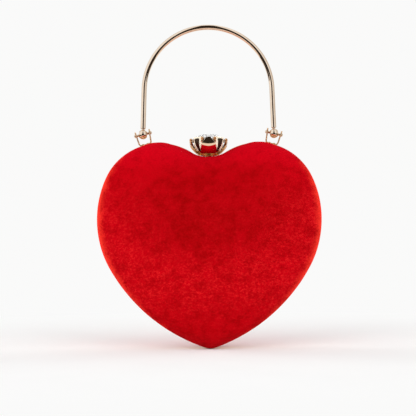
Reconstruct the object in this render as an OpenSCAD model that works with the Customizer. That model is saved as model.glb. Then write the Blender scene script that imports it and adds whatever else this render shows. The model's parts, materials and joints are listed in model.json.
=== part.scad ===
// Heart shaped evening purse: two velvet covered domes in gold frames that hinge at the tip,
// a crown clasp in the notch and a swinging wire handle on two shackles.
// X runs to the right, Y to the back and Z up. The origin is the lowest point of the tip.

/* [Heart outline] */
// Width of the heart over its frames
heart_w = 170; // [166:1:176]
// Height of the heart from the tip to the top of the lobes
heart_h = 155.5; // [153:0.5:159]
// Height of the widest place
widest_z = 97.5; // [95:0.5:100]
// Radius of the tip
tip_r = 12; // [10:0.5:14]
// Radius of the long flanks
flank_r = 130; // [125:1:136]
// Radius of the sides
side_r = 76; // [74:0.5:78]
// Radius of the two lobes
lobe_r = 45; // [43:0.5:47]
// Radius of the notch between the lobes
notch_r = 22; // [20:0.5:24]

/* [Case] */
// Thickness of the closed purse over both domes
case_t = 52; // [46:1:60]
// How square the domes are: 2 is an ellipse, and more is squarer
dome_power = 3.2; // [2.6:0.1:4]
// Height of the point that the domes shrink towards
crest_z = 85; // [78:1:92]

/* [Frames] */
// Depth of one gold frame
frame_t = 5; // [4.8:0.1:6]
// How far a frame reaches in from the outline
frame_reach = 5; // [4.9:0.1:5.6]
// Sheet thickness of the channel walls
wall_t = 0.8; // [0.6:0.05:0.9]
// Sheet thickness of the web at the parting face
web_t = 1; // [0.8:0.05:1.2]
// Gap between the two closed frames
parting = 0.2; // [0.1:0.05:0.3]

/* [Covering] */
// Thickness of the velvet with its glue
velvet_t = 1; // [0.8:0.1:1.2]
// Thickness of the wadding under the velvet
wadding_t = 2; // [1:0.1:3]
// Thickness of the moulded shell
shell_t = 1.6; // [1:0.1:1.7]
// Thickness of the lining and its card
lining_t = 1; // [0.6:0.1:1.4]

/* [Hinge] */
// Height of the hinge axis over the tip
hinge_z = 3; // [2.8:0.05:3.2]
// Radius of the knuckles
knuckle_r = 1.5; // [1.3:0.05:1.5]
// Length over all the knuckles
barrel_l = 12; // [9:0.5:12]
// Length of the middle knuckle
middle_l = 4; // [3:0.5:5]
// Radius of the hinge pin
hinge_pin_r = 0.7; // [0.5:0.05:0.8]

/* [Handle] */
// Height of the purse over the handle
total_h = 245.6; // [238:0.1:260]
// Distance between the centres of the two balls
pivot_span = 99.6; // [96:0.2:104]
// Radius of the arch along its centre line
arch_r = 48.6; // [47.5:0.1:49.6]
// Diameter of the handle's wire
wire_d = 4; // [3:0.1:4.4]
// Diameter of the balls
ball_d = 7.3; // [7:0.1:8]
// Diameter of the pins through the balls
pin_d = 2; // [1.6:0.1:2.2]

/* [Shackles] */
// Height of the pin over the outline
pin_rise = 8.5; // [7.5:0.1:10]
// Height of the ears over the pin
ear_over = 3; // [2.4:0.1:4]
// Inner width at the base
shackle_w = 8; // [7.4:0.1:8.6]
// Inner width at the pin
mouth_w = 9.4; // [9.2:0.1:11]
// Width of the strap along Y
strap_w = 4.8; // [4:0.1:4.8]
// Thickness of the strap
strap_t = 1; // [0.8:0.05:1.1]

/* [Crown] */
// Radius at the foot of the crown
foot_r = 7.8; // [7.6:0.05:8.2]
// Radius at the rim of the petals
rim_r = 14.4; // [13.8:0.1:15]
// How full the crown's bowl is: 1 is a cone, and more is fuller
bowl_power = 3; // [2.2:0.1:3.4]
// Height of the petals over the foot
petal_h = 12.3; // [11.8:0.1:13.5]
// Number of claws and of petals
claws = 8; // [6:1:10]
// Thickness of the petals
petal_t = 0.8; // [0.6:0.05:0.9]
// Width of a claw
claw_w = 1.6; // [1.2:0.1:2]
// Radius of the knob on a claw
knob_r = 1.1; // [0.9:0.05:1.3]
// Backward lean of the released crown, in degrees
crown_lean = 7; // [5:0.5:9]
// Height of the stone over the petals' rim
stone_over = 3.2; // [2:0.1:4]

/* [Clasp] */
// Height of the clasp's pivot over the notch
pivot_rise = 3.3; // [3.2:0.05:3.6]
// Distance of the pivot behind the parting plane
pivot_y = 3.4; // [3.2:0.05:3.5]
// Radius of the clasp's pivot pin
pivot_pin_r = 0.6; // [0.4:0.05:0.7]
// Height of the catch's tooth over the notch
tooth_h = 2; // [1.6:0.05:2.1]
// Width of the tooth and of the lever's arm
tooth_w = 4.8; // [4:0.1:5]

/* [Hidden] */
$fn = 64;

// Clearances: one overrun for cuts, a fit for pins, a gap for layers and one for running faces
cut = 1;
fit = 0.05;
layer_gap = 0.15;
run_gap = 0.1;
knuckle_gap = 0.2;

// Centres of the outline's arcs on the right half, each as [x, z]
function unit(v) = v / norm(v);
function angle_of(v) = atan2(v.y, v.x);
side_c = [heart_w / 2 - side_r, widest_z];
lobe_z = heart_h - lobe_r;
lobe_c = [side_c.x + sqrt(pow(side_r - lobe_r, 2) - pow(lobe_z - widest_z, 2)), lobe_z];
notch_c = [0, lobe_z + sqrt(pow(lobe_r + notch_r, 2) - pow(lobe_c.x, 2))];
tip_c = [0, tip_r];
// The flank's arc holds the side's and the tip's, so its centre is where two circles meet
span = side_c - tip_c;
from_side = flank_r - side_r;
from_tip = flank_r - tip_r;
along = (from_tip * from_tip - from_side * from_side + span * span) / (2 * norm(span));
flank_c = tip_c + unit(span) * along
    + [-unit(span).y, unit(span).x] * sqrt(from_tip * from_tip - along * along);
notch_z = notch_c.y - notch_r;

// Angles at which one arc hands over to the next
tip_end = angle_of(tip_c - flank_c);
flank_end = angle_of(side_c - flank_c);
side_end = angle_of(lobe_c - side_c);
lobe_end = angle_of(notch_c - lobe_c);

// Steps in the tip, flank, side, lobe and notch arcs of one half
DOME_STEPS = [1, 6, 5, 9, 3];
FRAME_STEPS = [3, 14, 12, 20, 7];

function arc(centre, r, from, to, steps) = [
    for (i = [0 : steps - 1])
        let (a = from + (to - from) * i / steps)
            centre + r * [cos(a), sin(a)]
];

// Right half of the outline, moved inwards by d, from the tip up to the notch
function half_outline(d, steps) = concat(
    arc(tip_c, tip_r - d, -90, tip_end, steps[0]),
    arc(flank_c, flank_r - d, tip_end, flank_end, steps[1]),
    arc(side_c, side_r - d, flank_end, side_end, steps[2]),
    arc(lobe_c, lobe_r - d, side_end, lobe_end, steps[3]),
    arc(notch_c, notch_r + d, lobe_end - 180, -90, steps[4]),
    [notch_c - [0, notch_r + d]]
);

function outline(d, steps) =
    let (right = half_outline(d, steps))
        concat(right, [for (i = [len(right) - 2 : -1 : 1]) [-right[i].x, right[i].y]]);

// A flat shape in X and Z, given thickness from y0 to y1
module plate(y0, y1) {
    translate([0, y1, 0]) rotate([90, 0, 0]) linear_extrude(y1 - y0) children();
}

// A flat shape in Y and Z, given thickness from x0 to x1
module bar(x0, x1) {
    translate([x0, 0, 0]) rotate([90, 0, 90]) linear_extrude(x1 - x0) children();
}

// A round bar along X, centred at the given Y and Z
module rod_x(x0, x1, y, z, r) {
    translate([x0, y, z]) rotate([0, 90, 0]) cylinder(h = x1 - x0, r = r);
}

module heart(d = 0) {
    polygon(outline(d, FRAME_STEPS));
}

// A low dome on a round base of radius r, as on a rivet
module head(r, h) {
    ball_r = (r * r + h * h) / (2 * h);
    intersection() {
        translate([0, 0, h - ball_r]) sphere(ball_r);
        cylinder(h = h, r = r);
    }
}

// Radii of a rivet's head and of its set tail, as shares of the shank's
head_share = 2;
tail_share = 1.4;

// A rivet along Z: its head stands on 0 and its tail is set at -grip
module rivet(shank_r, grip) {
    head(shank_r * head_share, shank_r);
    translate([0, 0, -grip]) cylinder(h = grip, r = shank_r);
    translate([0, 0, -grip]) rotate([180, 0, 0]) head(shank_r * tail_share, shank_r);
}

// Shells and soft layers of a half

// Offsets from the outline at the rim, from the outside inwards, and heights over the parting
velvet_d = wall_t + layer_gap;
shell_d = velvet_d + velvet_t + layer_gap;
lining_d = frame_reach + layer_gap;
velvet_top = case_t / 2;
wadding_top = velvet_top - velvet_t - layer_gap;
shell_top = wadding_top - wadding_t - layer_gap;
lining_top = shell_top - shell_t - layer_gap;
// The hinge's pocket reaches this far to each side of the parting plane
pocket_y = knuckle_r + cut;
// Where the velvet and the shell start in the channel, and where the lining starts
seat_y = pocket_y + knuckle_gap;
lining_y = parting;

DOME_RINGS = 6;

// One ring of a dome: the outline at offset d, shrunk towards the crest and lifted
function ring(d, s, y) = [
    for (p = outline(d, DOME_STEPS))
        [s * p.x, y, crest_z + s * (p.y - crest_z)]
];

// Rings from a rim at y0 up a straight wall and over the dome, from step first to the last
function dome(d, y0, top, first) = concat(
    first == 0 ? [ring(d, 1, y0)] : [],
    [for (i = [first : DOME_RINGS - 1])
        let (a = 90 * i / DOME_RINGS)
            ring(d, pow(cos(a), 2 / dome_power), frame_t + (top - frame_t) * pow(sin(a), 2 / dome_power))]
);

// A closed skin between two stacks of rings, each stack with a point at its top
module skin(outer, inner, outer_top, inner_top) {
    n = len(outer[0]);
    rows = len(outer);
    points = concat(
        [for (r = outer) each r], [[0, outer_top, crest_z]],
        [for (r = inner) each r], [[0, inner_top, crest_z]]
    );
    half = rows * n + 1;
    outer_faces = [
        for (j = [0 : rows - 2], i = [0 : n - 1])
            let (k = (i + 1) % n)
                each [[j * n + i, (j + 1) * n + i, j * n + k],
                      [j * n + k, (j + 1) * n + i, (j + 1) * n + k]]
    ];
    outer_fan = [for (i = [0 : n - 1]) [(rows - 1) * n + i, half - 1, (rows - 1) * n + (i + 1) % n]];
    upper = concat(outer_faces, outer_fan);
    lower = [for (f = upper) [f[0] + half, f[2] + half, f[1] + half]];
    rim = [
        for (i = [0 : n - 1])
            let (k = (i + 1) % n)
                each [[i, k, half + i], [k, half + k, half + i]]
    ];
    polyhedron(points, concat(upper, lower, rim), convexity = 4);
}

// A layer of even thickness t whose outside starts at offset d and ends at height top
module layer(d, t, y0, top, first = 0) {
    skin(dome(d, y0, top, first), dome(d + t, y0, top - t, first), top, top - t);
}

module velvet() {
    color("crimson") layer(velvet_d, velvet_t, seat_y, velvet_top);
}

// The wadding thins out at the edge, where the velvet is glued to the shell
WADDING_START = 2;
module wadding() {
    color("white")
        skin(
            dome(shell_d, seat_y, wadding_top, WADDING_START),
            dome(shell_d, seat_y, wadding_top - wadding_t, WADDING_START),
            wadding_top, wadding_top - wadding_t
        );
}

module shell() {
    color("dimgray") layer(shell_d, shell_t, seat_y, shell_top);
}

module lining() {
    color("bisque") layer(lining_d, lining_t, lining_y, lining_top);
}

// Frames and the hinge at the tip

// A bent channel that is open towards the dome: outer wall, web and inner wall
module channel() {
    difference() {
        plate(parting / 2, frame_t) difference() {
            heart();
            heart(frame_reach);
        }
        plate(parting / 2 + web_t, frame_t + cut) difference() {
            heart(wall_t);
            heart(frame_reach - wall_t);
        }
    }
}

pocket_x = 2 * tip_r;
knuckle_ends = [middle_l / 2, barrel_l / 2];
// The pin ends flush with the knuckles, with a small set head on each end
pin_head_t = 0.3;

// The channel with the tip cleared under the hinge axis, for the half that swings past it
module tip_cleared_channel() {
    difference() {
        channel();
        translate([-pocket_x, -pocket_y, -cut])
            cube([2 * pocket_x, 2 * pocket_y, hinge_z + cut]);
    }
}

module knuckle(x0, x1) {
    rod_x(x0 + run_gap, x1 - run_gap, 0, hinge_z, knuckle_r);
}

// The room over the end knuckles also clears the heads of the pin
module knuckle_room(x0, x1) {
    over = pin_head_t + run_gap;
    rod_x(x0 - over, x1 + over, 0, hinge_z, knuckle_r + knuckle_gap);
}

module pin_bore() {
    rod_x(-barrel_l, barrel_l, 0, hinge_z, hinge_pin_r + fit);
}

// The back frame has its own room for each head of the pin, beside its knuckles
module pin_head_room() {
    from = barrel_l / 2 - run_gap;
    to = barrel_l / 2 + pin_head_t + run_gap;
    for (s = [0, 1])
        mirror([s, 0, 0]) rod_x(from, to, 0, hinge_z, hinge_pin_r + pin_head_t + run_gap);
}

module back_frame() {
    color("wheat") difference() {
        union() {
            difference() {
                tip_cleared_channel();
                knuckle_room(-knuckle_ends[0], knuckle_ends[0]);
            }
            for (s = [-1, 1])
                knuckle(
                    s > 0 ? knuckle_ends[0] : -knuckle_ends[1],
                    s > 0 ? knuckle_ends[1] : -knuckle_ends[0]
                );
        }
        pin_bore();
        pin_head_room();
        for (side = [-1, 1])
            at_shackle(side) rivet_holes(shackle_rivet_x, shackle_rivet_r);
        at_notch(rivet_y) rivet_holes(base_rivet_x, clasp_rivet_r);
    }
}

module front_frame() {
    color("wheat") difference() {
        union() {
            difference() {
                mirror([0, 1, 0]) tip_cleared_channel();
                for (s = [-1, 1])
                    knuckle_room(
                        s > 0 ? knuckle_ends[0] : -knuckle_ends[1],
                        s > 0 ? knuckle_ends[1] : -knuckle_ends[0]
                    );
            }
            knuckle(-knuckle_ends[0], knuckle_ends[0]);
        }
        pin_bore();
        at_notch(-rivet_y) rivet_holes(catch_rivet_x, clasp_rivet_r);
    }
}

module hinge_pin() {
    color("silver") {
        rod_x(-barrel_l / 2, barrel_l / 2, 0, hinge_z, hinge_pin_r);
        for (s = [-1, 1])
            translate([s * barrel_l / 2, 0, hinge_z]) rotate([0, s * 90, 0])
                head(hinge_pin_r + pin_head_t, pin_head_t);
    }
}

// Rivets sit in the free strip of the channel, between the web and the velvet's edge
rivet_y = (parting / 2 + web_t + seat_y) / 2;

module rivet_holes(x, r) {
    for (s = [-1, 1])
        translate([s * x, 0, -2 * cut]) cylinder(h = 4 * cut, r = r + fit);
}

module at_notch(y) {
    translate([0, y, notch_z]) children();
}

// Shackles, their pins and the handle

shackle_tilt = asin((pivot_span / 2 - lobe_c.x) / (lobe_r + pin_rise));
pivot_z = lobe_c.y + (lobe_r + pin_rise) * cos(shackle_tilt);
shackle_y = parting / 2 + strap_w / 2 + run_gap;
ear_slope = (mouth_w - shackle_w) / 2 / (pin_rise - strap_t);
corner_r = 2.2;
pin_head_r = 1.5;
// The rivets stand on the flat of the base, just inside its round corners
shackle_rivet_x = shackle_w / 2 - corner_r;
shackle_rivet_r = 0.55;
// How far the frame's round wall falls away under the outer edge of a rivet's tail
tail_x = shackle_rivet_x + shackle_rivet_r * tail_share;
lobe_sag = lobe_r - wall_t - sqrt(pow(lobe_r - wall_t, 2) - tail_x * tail_x);
// A foot under the strap fills the hollow between its flat base and the round lobe
foot_x = (shackle_w - corner_r) / 2;

// Puts a piece on the lobe, square to the outline, with the outline at 0
module at_shackle(side) {
    translate([side * lobe_c.x, rivet_y, lobe_c.y])
        rotate([0, side * shackle_tilt, 0]) translate([0, 0, lobe_r]) children();
}

function strap_x(z) = shackle_w / 2 + (z - strap_t) * ear_slope;

// Points of an arc of radius r that rounds the corner b between a and c
function rounded(a, b, c, r, steps = 6) =
    let (
        u = unit(a - b),
        v = unit(c - b),
        half = acos(u * v) / 2,
        centre = b + unit(u + v) * r / sin(half),
        from = angle_of(b + u * r / tan(half) - centre),
        to = angle_of(b + v * r / tan(half) - centre),
        turn = to - from > 180 ? to - from - 360 : to - from < -180 ? to - from + 360 : to - from
    )
    [for (i = [0 : steps]) centre + r * [cos(from + turn * i / steps), sin(from + turn * i / steps)]];

// One side of the bent strap's edge, from the middle of its base up the ear and back down outside
function half_strap() =
    let (top = pin_rise + ear_over, slant = strap_t * sqrt(1 + ear_slope * ear_slope))
        concat(
            rounded([0, strap_t], [strap_x(strap_t), strap_t], [strap_x(top), top], corner_r - strap_t),
            [[strap_x(top), top], [strap_x(top) + slant, top]],
            rounded([strap_x(top) + slant, top], [strap_x(0) + slant, 0], [0, 0], corner_r),
            [[foot_x, 0], [foot_x, -strap_t]]
        );

module strap_blank() {
    right = half_strap();
    plate(-strap_w / 2, strap_w / 2)
        polygon(concat(right, [for (i = [len(right) - 1 : -1 : 0]) [-right[i].x, right[i].y]]));
}

module ear_shape() {
    top = pin_rise + ear_over;
    rod_x(-mouth_w, mouth_w, 0, top - strap_w / 2, strap_w / 2);
    translate([-mouth_w, -strap_w / 2, -2 * strap_t])
        cube([2 * mouth_w, strap_w, top - strap_w / 2 + 2 * strap_t]);
}

module shackle(side) {
    color("wheat") difference() {
        at_shackle(side) difference() {
            translate([0, shackle_y - rivet_y, 0]) intersection() {
                strap_blank();
                ear_shape();
            }
            translate([0, shackle_y - rivet_y, 0])
                rod_x(-mouth_w, mouth_w, 0, pin_rise, pin_d / 2 + fit);
            rivet_holes(shackle_rivet_x, shackle_rivet_r);
        }
        plate(-cut, frame_t + cut) heart();
    }
}

module shackle_rivets() {
    color("wheat")
        for (side = [-1, 1], s = [-1, 1])
            at_shackle(side) translate([s * shackle_rivet_x, 0, strap_t])
                rivet(shackle_rivet_r, strap_t + wall_t + lobe_sag);
}

module ball_pin(side) {
    reach = strap_x(pin_rise + pin_head_r) + strap_t + run_gap;
    color("wheat") at_shackle(side) translate([0, shackle_y - rivet_y, 0]) {
        rod_x(-reach, reach, 0, pin_rise, pin_d / 2);
        for (s = [-1, 1])
            translate([s * reach, 0, pin_rise]) rotate([0, s * 90, 0])
                head(pin_head_r, pin_d / 2);
    }
}

// The legs leave the arch on tangents and run to the centres of the balls
arch_z = total_h - wire_d / 2 - arch_r;
pivot_from_arch = [pivot_span / 2, pivot_z - arch_z];
leg_l = sqrt(pivot_from_arch * pivot_from_arch - arch_r * arch_r);
splay = angle_of(pivot_from_arch) + acos(arch_r / norm(pivot_from_arch));
spigot_share = 0.3;
spigot_r = wire_d * spigot_share;
// The bore is round over its short waist, and opens a little faster than the pin leans
waist = 0.2;
flare_share = 1.08;
flare = abs(tan(shackle_tilt)) * flare_share;
bore_r = pin_d / 2 / cos(shackle_tilt) + waist * flare + run_gap;
// Metal between the bore and the spigot's hole, and the neck's height over the ball
bore_wall = 0.5;
neck_rise = 0.5;
spigot_z = bore_r + flare * spigot_r + bore_wall;
neck_z = ball_d / 2 + neck_rise;

module at_ball(side) {
    translate([side * pivot_span / 2, shackle_y, pivot_z])
        rotate([0, -side * splay, 0]) children();
}

// The wire's centre line as [x, z, angle of the run], from the right ball over the arch to the left
WIRE_STEPS = 36;
WIRE_SIDES = 16;
function leg_point(side, z) =
    [side * (pivot_span / 2 - z * sin(splay)), pivot_z + z * cos(splay)];
wire_path = concat(
    [concat(leg_point(1, neck_z), [splay])],
    [for (i = [0 : WIRE_STEPS])
        let (a = splay + (180 - 2 * splay) * i / WIRE_STEPS)
            [arch_r * cos(a), arch_z + arch_r * sin(a), a]],
    [concat(leg_point(-1, neck_z), [180 - splay])]
);

module handle_rod() {
    rings = len(wire_path);
    last = (rings - 1) * WIRE_SIDES;
    points = [
        for (p = wire_path, j = [0 : WIRE_SIDES - 1])
            let (a = 360 * j / WIRE_SIDES, across = wire_d / 2 * cos(a))
                [p.x + across * cos(p.z), shackle_y + wire_d / 2 * sin(a), p.y + across * sin(p.z)]
    ];
    walls = [
        for (i = [0 : rings - 2], j = [0 : WIRE_SIDES - 1])
            let (k = (j + 1) % WIRE_SIDES, at = i * WIRE_SIDES)
                each [[at + j, at + WIRE_SIDES + j, at + k],
                      [at + k, at + WIRE_SIDES + j, at + WIRE_SIDES + k]]
    ];
    ends = [
        [for (j = [0 : WIRE_SIDES - 1]) j],
        [for (j = [WIRE_SIDES - 1 : -1 : 0]) last + j]
    ];
    color("wheat") {
        polyhedron(points, concat(walls, ends), convexity = 4);
        for (side = [-1, 1])
            at_ball(side) translate([0, 0, spigot_z])
                cylinder(h = neck_z - spigot_z + wire_d / 2, r = spigot_r);
    }
}

// The bore is waisted, so that the tilted pin clears it at every swing of the handle
module ball(side) {
    half = ball_d / 2;
    color("wheat") difference() {
        translate([side * pivot_span / 2, shackle_y, pivot_z]) sphere(half);
        translate([side * pivot_span / 2, shackle_y, pivot_z]) {
            rod_x(-waist, waist, 0, 0, bore_r);
            for (s = [-1, 1])
                rotate([0, s * 90, 0]) translate([0, 0, waist])
                    cylinder(h = half, r1 = bore_r, r2 = bore_r + flare * half);
        }
        at_ball(side) translate([0, 0, spigot_z]) cylinder(h = ball_d, r = spigot_r + fit);
    }
}

// Clasp: a base on the back frame, a rocking lever with its hook, and a catch on the front

clasp_rivet_r = 0.5;
base_rivet_x = 1.6;
catch_rivet_x = 3.4;
base_t = 1;
catch_t = 0.7;
base_w = 8.4;
base_past = 1.1;
base_y = [parting / 2 + run_gap, pivot_y + base_past];
lug_r = 1.5;
lug_gap = 6.4;
lug_t = 1;
barrel_r = 1.3;
spring_l = 1.2;
arm_t = 1.3;
arm_drop = 0.3;
hook_t = 1;
tooth_y = [2.3, 3.9];
tooth_flat = 0.5;
hook_clear = 0.15;
hook_gap = 0.3;
hook_y = tooth_y[1] + hook_gap;

// A foot plate of width w from y0 to y1 whose underside follows the notch of the frames
module notch_plate(w, y0, y1, t) {
    plate(y0, y1) difference() {
        translate([-w / 2, notch_z - t]) square([w, 2 * t]);
        heart();
    }
}

module clasp_base() {
    color("wheat") difference() {
        union() {
            notch_plate(base_w, base_y[0], base_y[1], base_t);
            at_notch(0) for (s = [-1, 1]) {
                x0 = s > 0 ? lug_gap / 2 : -lug_gap / 2 - lug_t;
                rod_x(x0, x0 + lug_t, pivot_y, pivot_rise, lug_r);
                bar(x0, x0 + lug_t) translate([pivot_y - lug_r, base_t / 2])
                    square([base_y[1] - pivot_y + lug_r, pivot_rise - base_t / 2]);
            }
        }
        at_notch(0) rod_x(-base_w, base_w, pivot_y, pivot_rise, pivot_pin_r + fit);
        at_notch(rivet_y) rivet_holes(base_rivet_x, clasp_rivet_r);
    }
}

module clasp_base_rivets() {
    color("wheat")
        at_notch(rivet_y) for (s = [-1, 1])
            translate([s * base_rivet_x, 0, base_t]) rivet(clasp_rivet_r, base_t + wall_t);
}

module clasp_pivot_pin() {
    reach = lug_gap / 2 + lug_t;
    color("silver") at_notch(0) {
        rod_x(-reach, reach, pivot_y, pivot_rise, pivot_pin_r);
        for (s = [-1, 1])
            translate([s * reach, pivot_y, pivot_rise]) rotate([0, s * 90, 0])
                head(pivot_pin_r * tail_share, pivot_pin_r / 2);
    }
}

// The torsion spring's coil, drawn as the sleeve that its turns fill
module clasp_spring() {
    x1 = lug_gap / 2 - run_gap;
    color("silver") at_notch(0) difference() {
        rod_x(x1 - spring_l, x1, pivot_y, pivot_rise, barrel_r);
        rod_x(x1 - spring_l - cut, x1 + cut, pivot_y, pivot_rise, pivot_pin_r + fit);
    }
}

// Values of the crown, in its own leaning frame with its foot at 0
crown_rise = 2.2;
floor_z = 3.9;
floor_t = 0.8;
post_r = 2.6;
screw_r = 0.8;
screw_head_r = 1.8;
screw_head_t = 0.6;
claw_depth_share = 0.75;
claw_t = claw_w * claw_depth_share;
CROWN_STEPS = 12;

function crown_r(z) = foot_r + (rim_r - foot_r) * (1 - pow(1 - z / petal_h, bowl_power));

module at_crown() {
    at_notch(0) translate([0, 0, crown_rise]) rotate([-crown_lean, 0, 0]) children();
}

module clasp_lever() {
    x0 = -lug_gap / 2 + run_gap;
    x1 = lug_gap / 2 - 2 * run_gap - spring_l;
    color("wheat") difference() {
        union() {
            at_notch(0) {
                rod_x(x0, x1, pivot_y, pivot_rise, barrel_r);
                bar(-tooth_w / 2, x1) translate([-hook_y - hook_t, pivot_rise - arm_drop])
                    square([hook_y + hook_t + pivot_y, arm_t]);
                bar(-tooth_w / 2, tooth_w / 2) {
                    translate([-hook_y - hook_t, pivot_rise - arm_drop])
                        square([hook_y + hook_t, arm_t]);
                    translate([-hook_y - hook_t, tooth_h + hook_clear])
                        square([hook_t, pivot_rise - tooth_h]);
                }
            }
            at_crown() translate([0, 0, floor_z / 2]) cylinder(h = floor_z / 2, r = post_r);
        }
        at_notch(0) rod_x(-base_w, base_w, pivot_y, pivot_rise, pivot_pin_r + fit);
        at_crown() cylinder(h = petal_h, r = screw_r + fit);
        // The post is trimmed to the room over the tooth
        at_notch(0) translate([-post_r - cut, -post_r - cut, 0])
            cube([2 * (post_r + cut), post_r + cut + pivot_y - barrel_r, pivot_rise - arm_drop]);
    }
}

// The cup is turned in one piece with its floor, then notched where the claws stand
notch_from_share = 0.6;
notch_foot_w = 2.4;
notch_top_w = 6;

module crown_cup() {
    z_list = [for (i = [0 : CROWN_STEPS]) petal_h * i / CROWN_STEPS];
    color("wheat") at_crown() difference() {
        rotate_extrude() difference() {
            polygon(concat(
                [for (z = z_list) [crown_r(z), z]],
                [[0, petal_h], [0, 0]]
            ));
            // Room for the lever under the floor, and for the stone over it
            polygon(concat(
                [[0, -cut], [foot_r - petal_t, -cut]],
                [for (i = [0 : 3]) let (z = floor_z * i / 3) [crown_r(z) - petal_t, z]],
                [[0, floor_z]]
            ));
            polygon(concat(
                [for (i = [0 : 6])
                    let (z = floor_z + floor_t + (petal_h - floor_z - floor_t) * i / 6)
                        [crown_r(z) - petal_t, z]],
                [[rim_r - petal_t, petal_h + cut], [0, petal_h + cut], [0, floor_z + floor_t]]
            ));
        }
        cylinder(h = petal_h, r = screw_r + fit);
        for (i = [0 : claws - 1])
            rotate([0, 0, 360 * (i + 0.5) / claws]) bar(rim_r / 2, 2 * rim_r)
                polygon([
                    [-notch_foot_w / 2, petal_h * notch_from_share],
                    [notch_foot_w / 2, petal_h * notch_from_share],
                    [notch_top_w / 2, petal_h + cut],
                    [-notch_top_w / 2, petal_h + cut]
                ]);
    }
}

module crown_claws() {
    z_list = [for (i = [0 : CROWN_STEPS]) petal_h * i / CROWN_STEPS];
    color("wheat") at_crown() for (i = [0 : claws - 1])
        rotate([0, 0, 360 * (i + 0.5) / claws]) {
            plate(-claw_w / 2, claw_w / 2)
                polygon(concat(
                    [for (z = z_list) [crown_r(z) + fit / 2, z]],
                    [for (i = [CROWN_STEPS : -1 : 0]) [crown_r(z_list[i]) + claw_t, z_list[i]]]
                ));
            translate([crown_r(petal_h) + claw_t / 2, 0, petal_h]) sphere(knob_r);
        }
}

// The stone's girdle sits inside the petals, and its table stands over them
girdle_drop = 1.8;
girdle_t = 0.8;
girdle_z = petal_h - girdle_drop;
stone_gap = 0.7;
stone_r = rim_r - petal_t - stone_gap;
table_share = 0.56;
table_r = stone_r * table_share;
culet_r = 3.6;
culet_rise = 0.9;
culet_z = floor_z + floor_t + screw_head_t + culet_rise;

module crown_screw() {
    color("silver") at_crown() {
        translate([0, 0, floor_z - floor_t]) cylinder(h = 2 * floor_t, r = screw_r);
        translate([0, 0, floor_z + floor_t]) head(screw_head_r, screw_head_t);
    }
}

module stone_seat() {
    seat_t = 0.4;
    out = seat_t + layer_gap;
    color("silver") at_crown() rotate_extrude() polygon([
        [culet_r + layer_gap, floor_z + floor_t],
        [culet_r + out, floor_z + floor_t],
        [culet_r + out, culet_z],
        [stone_r + layer_gap, girdle_z - out],
        [stone_r + layer_gap, girdle_z - layer_gap],
        [culet_r + layer_gap, culet_z]
    ]);
}

module stone() {
    color("white", 0.5) at_crown() rotate([0, 0, 180 / claws]) rotate_extrude() polygon([
        [0, culet_z + layer_gap],
        [culet_r - layer_gap, culet_z + layer_gap],
        [stone_r, girdle_z],
        [stone_r, girdle_z + girdle_t],
        [table_r, petal_h + stone_over],
        [0, petal_h + stone_over]
    ]);
}

module catch() {
    catch_w = 2 * (catch_rivet_x + clasp_rivet_r * head_share);
    color("wheat") difference() {
        union() {
            notch_plate(catch_w, -frame_t + run_gap, -base_y[0], catch_t);
            at_notch(0) bar(-tooth_w / 2, tooth_w / 2) polygon([
                [-tooth_y[1], catch_t / 2],
                [-tooth_y[1], tooth_h],
                [-tooth_y[1] + tooth_flat, tooth_h],
                [-tooth_y[0], tooth_h / 2],
                [-tooth_y[0], catch_t / 2]
            ]);
        }
        at_notch(-rivet_y) rivet_holes(catch_rivet_x, clasp_rivet_r);
    }
}

module catch_rivets() {
    color("wheat")
        at_notch(-rivet_y) for (s = [-1, 1])
            translate([s * catch_rivet_x, 0, catch_t]) rivet(clasp_rivet_r, catch_t + wall_t);
}

module front() {
    mirror([0, 1, 0]) children();
}

back_frame();
shell();  // back_shell
wadding();  // back_wadding
velvet();  // back_velvet
lining();  // back_lining
front_frame();
front() shell();  // front_shell
front() wadding();  // front_wadding
front() velvet();  // front_velvet
front() lining();  // front_lining
hinge_pin();
shackle(-1);  // left_shackle
shackle(1);  // right_shackle
shackle_rivets();
ball_pin(-1);  // left_pin
ball_pin(1);  // right_pin
handle_rod();
ball(-1);  // left_ball
ball(1);  // right_ball
clasp_base();
clasp_base_rivets();
clasp_pivot_pin();
clasp_spring();
clasp_lever();
crown_cup();
crown_claws();
stone_seat();
stone();
crown_screw();
catch();
catch_rivets();
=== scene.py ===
"""Looks of the heart shaped evening purse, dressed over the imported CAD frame."""

import json
import math

import bmesh
import bpy
import numpy as np
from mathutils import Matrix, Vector, noise


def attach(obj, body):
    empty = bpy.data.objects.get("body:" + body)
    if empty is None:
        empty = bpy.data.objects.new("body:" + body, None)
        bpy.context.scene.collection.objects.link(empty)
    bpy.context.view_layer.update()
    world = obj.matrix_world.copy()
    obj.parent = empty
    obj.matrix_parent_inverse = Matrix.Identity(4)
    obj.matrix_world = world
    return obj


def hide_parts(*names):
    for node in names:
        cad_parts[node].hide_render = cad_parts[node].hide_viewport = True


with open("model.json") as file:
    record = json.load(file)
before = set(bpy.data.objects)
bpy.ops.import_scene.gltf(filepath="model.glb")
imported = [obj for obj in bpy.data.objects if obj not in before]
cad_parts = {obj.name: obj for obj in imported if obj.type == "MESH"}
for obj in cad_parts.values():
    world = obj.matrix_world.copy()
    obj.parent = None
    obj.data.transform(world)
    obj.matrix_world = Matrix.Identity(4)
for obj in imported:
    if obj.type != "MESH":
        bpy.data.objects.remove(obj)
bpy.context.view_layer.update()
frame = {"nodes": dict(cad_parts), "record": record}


# Sizes

# All sizes are in millimetres, as in the CAD. Meshes are made in metres.
MM = 0.001

HEART_W = 170.0
HEART_H = 155.5
WIDEST_Z = 97.5
TIP_R = 12.0
FLANK_R = 130.0
SIDE_R = 76.0
LOBE_R = 45.0
NOTCH_R = 22.0

CASE_T = 52.0
DOME_POWER = 3.2
CREST_Z = 85.0

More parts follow.
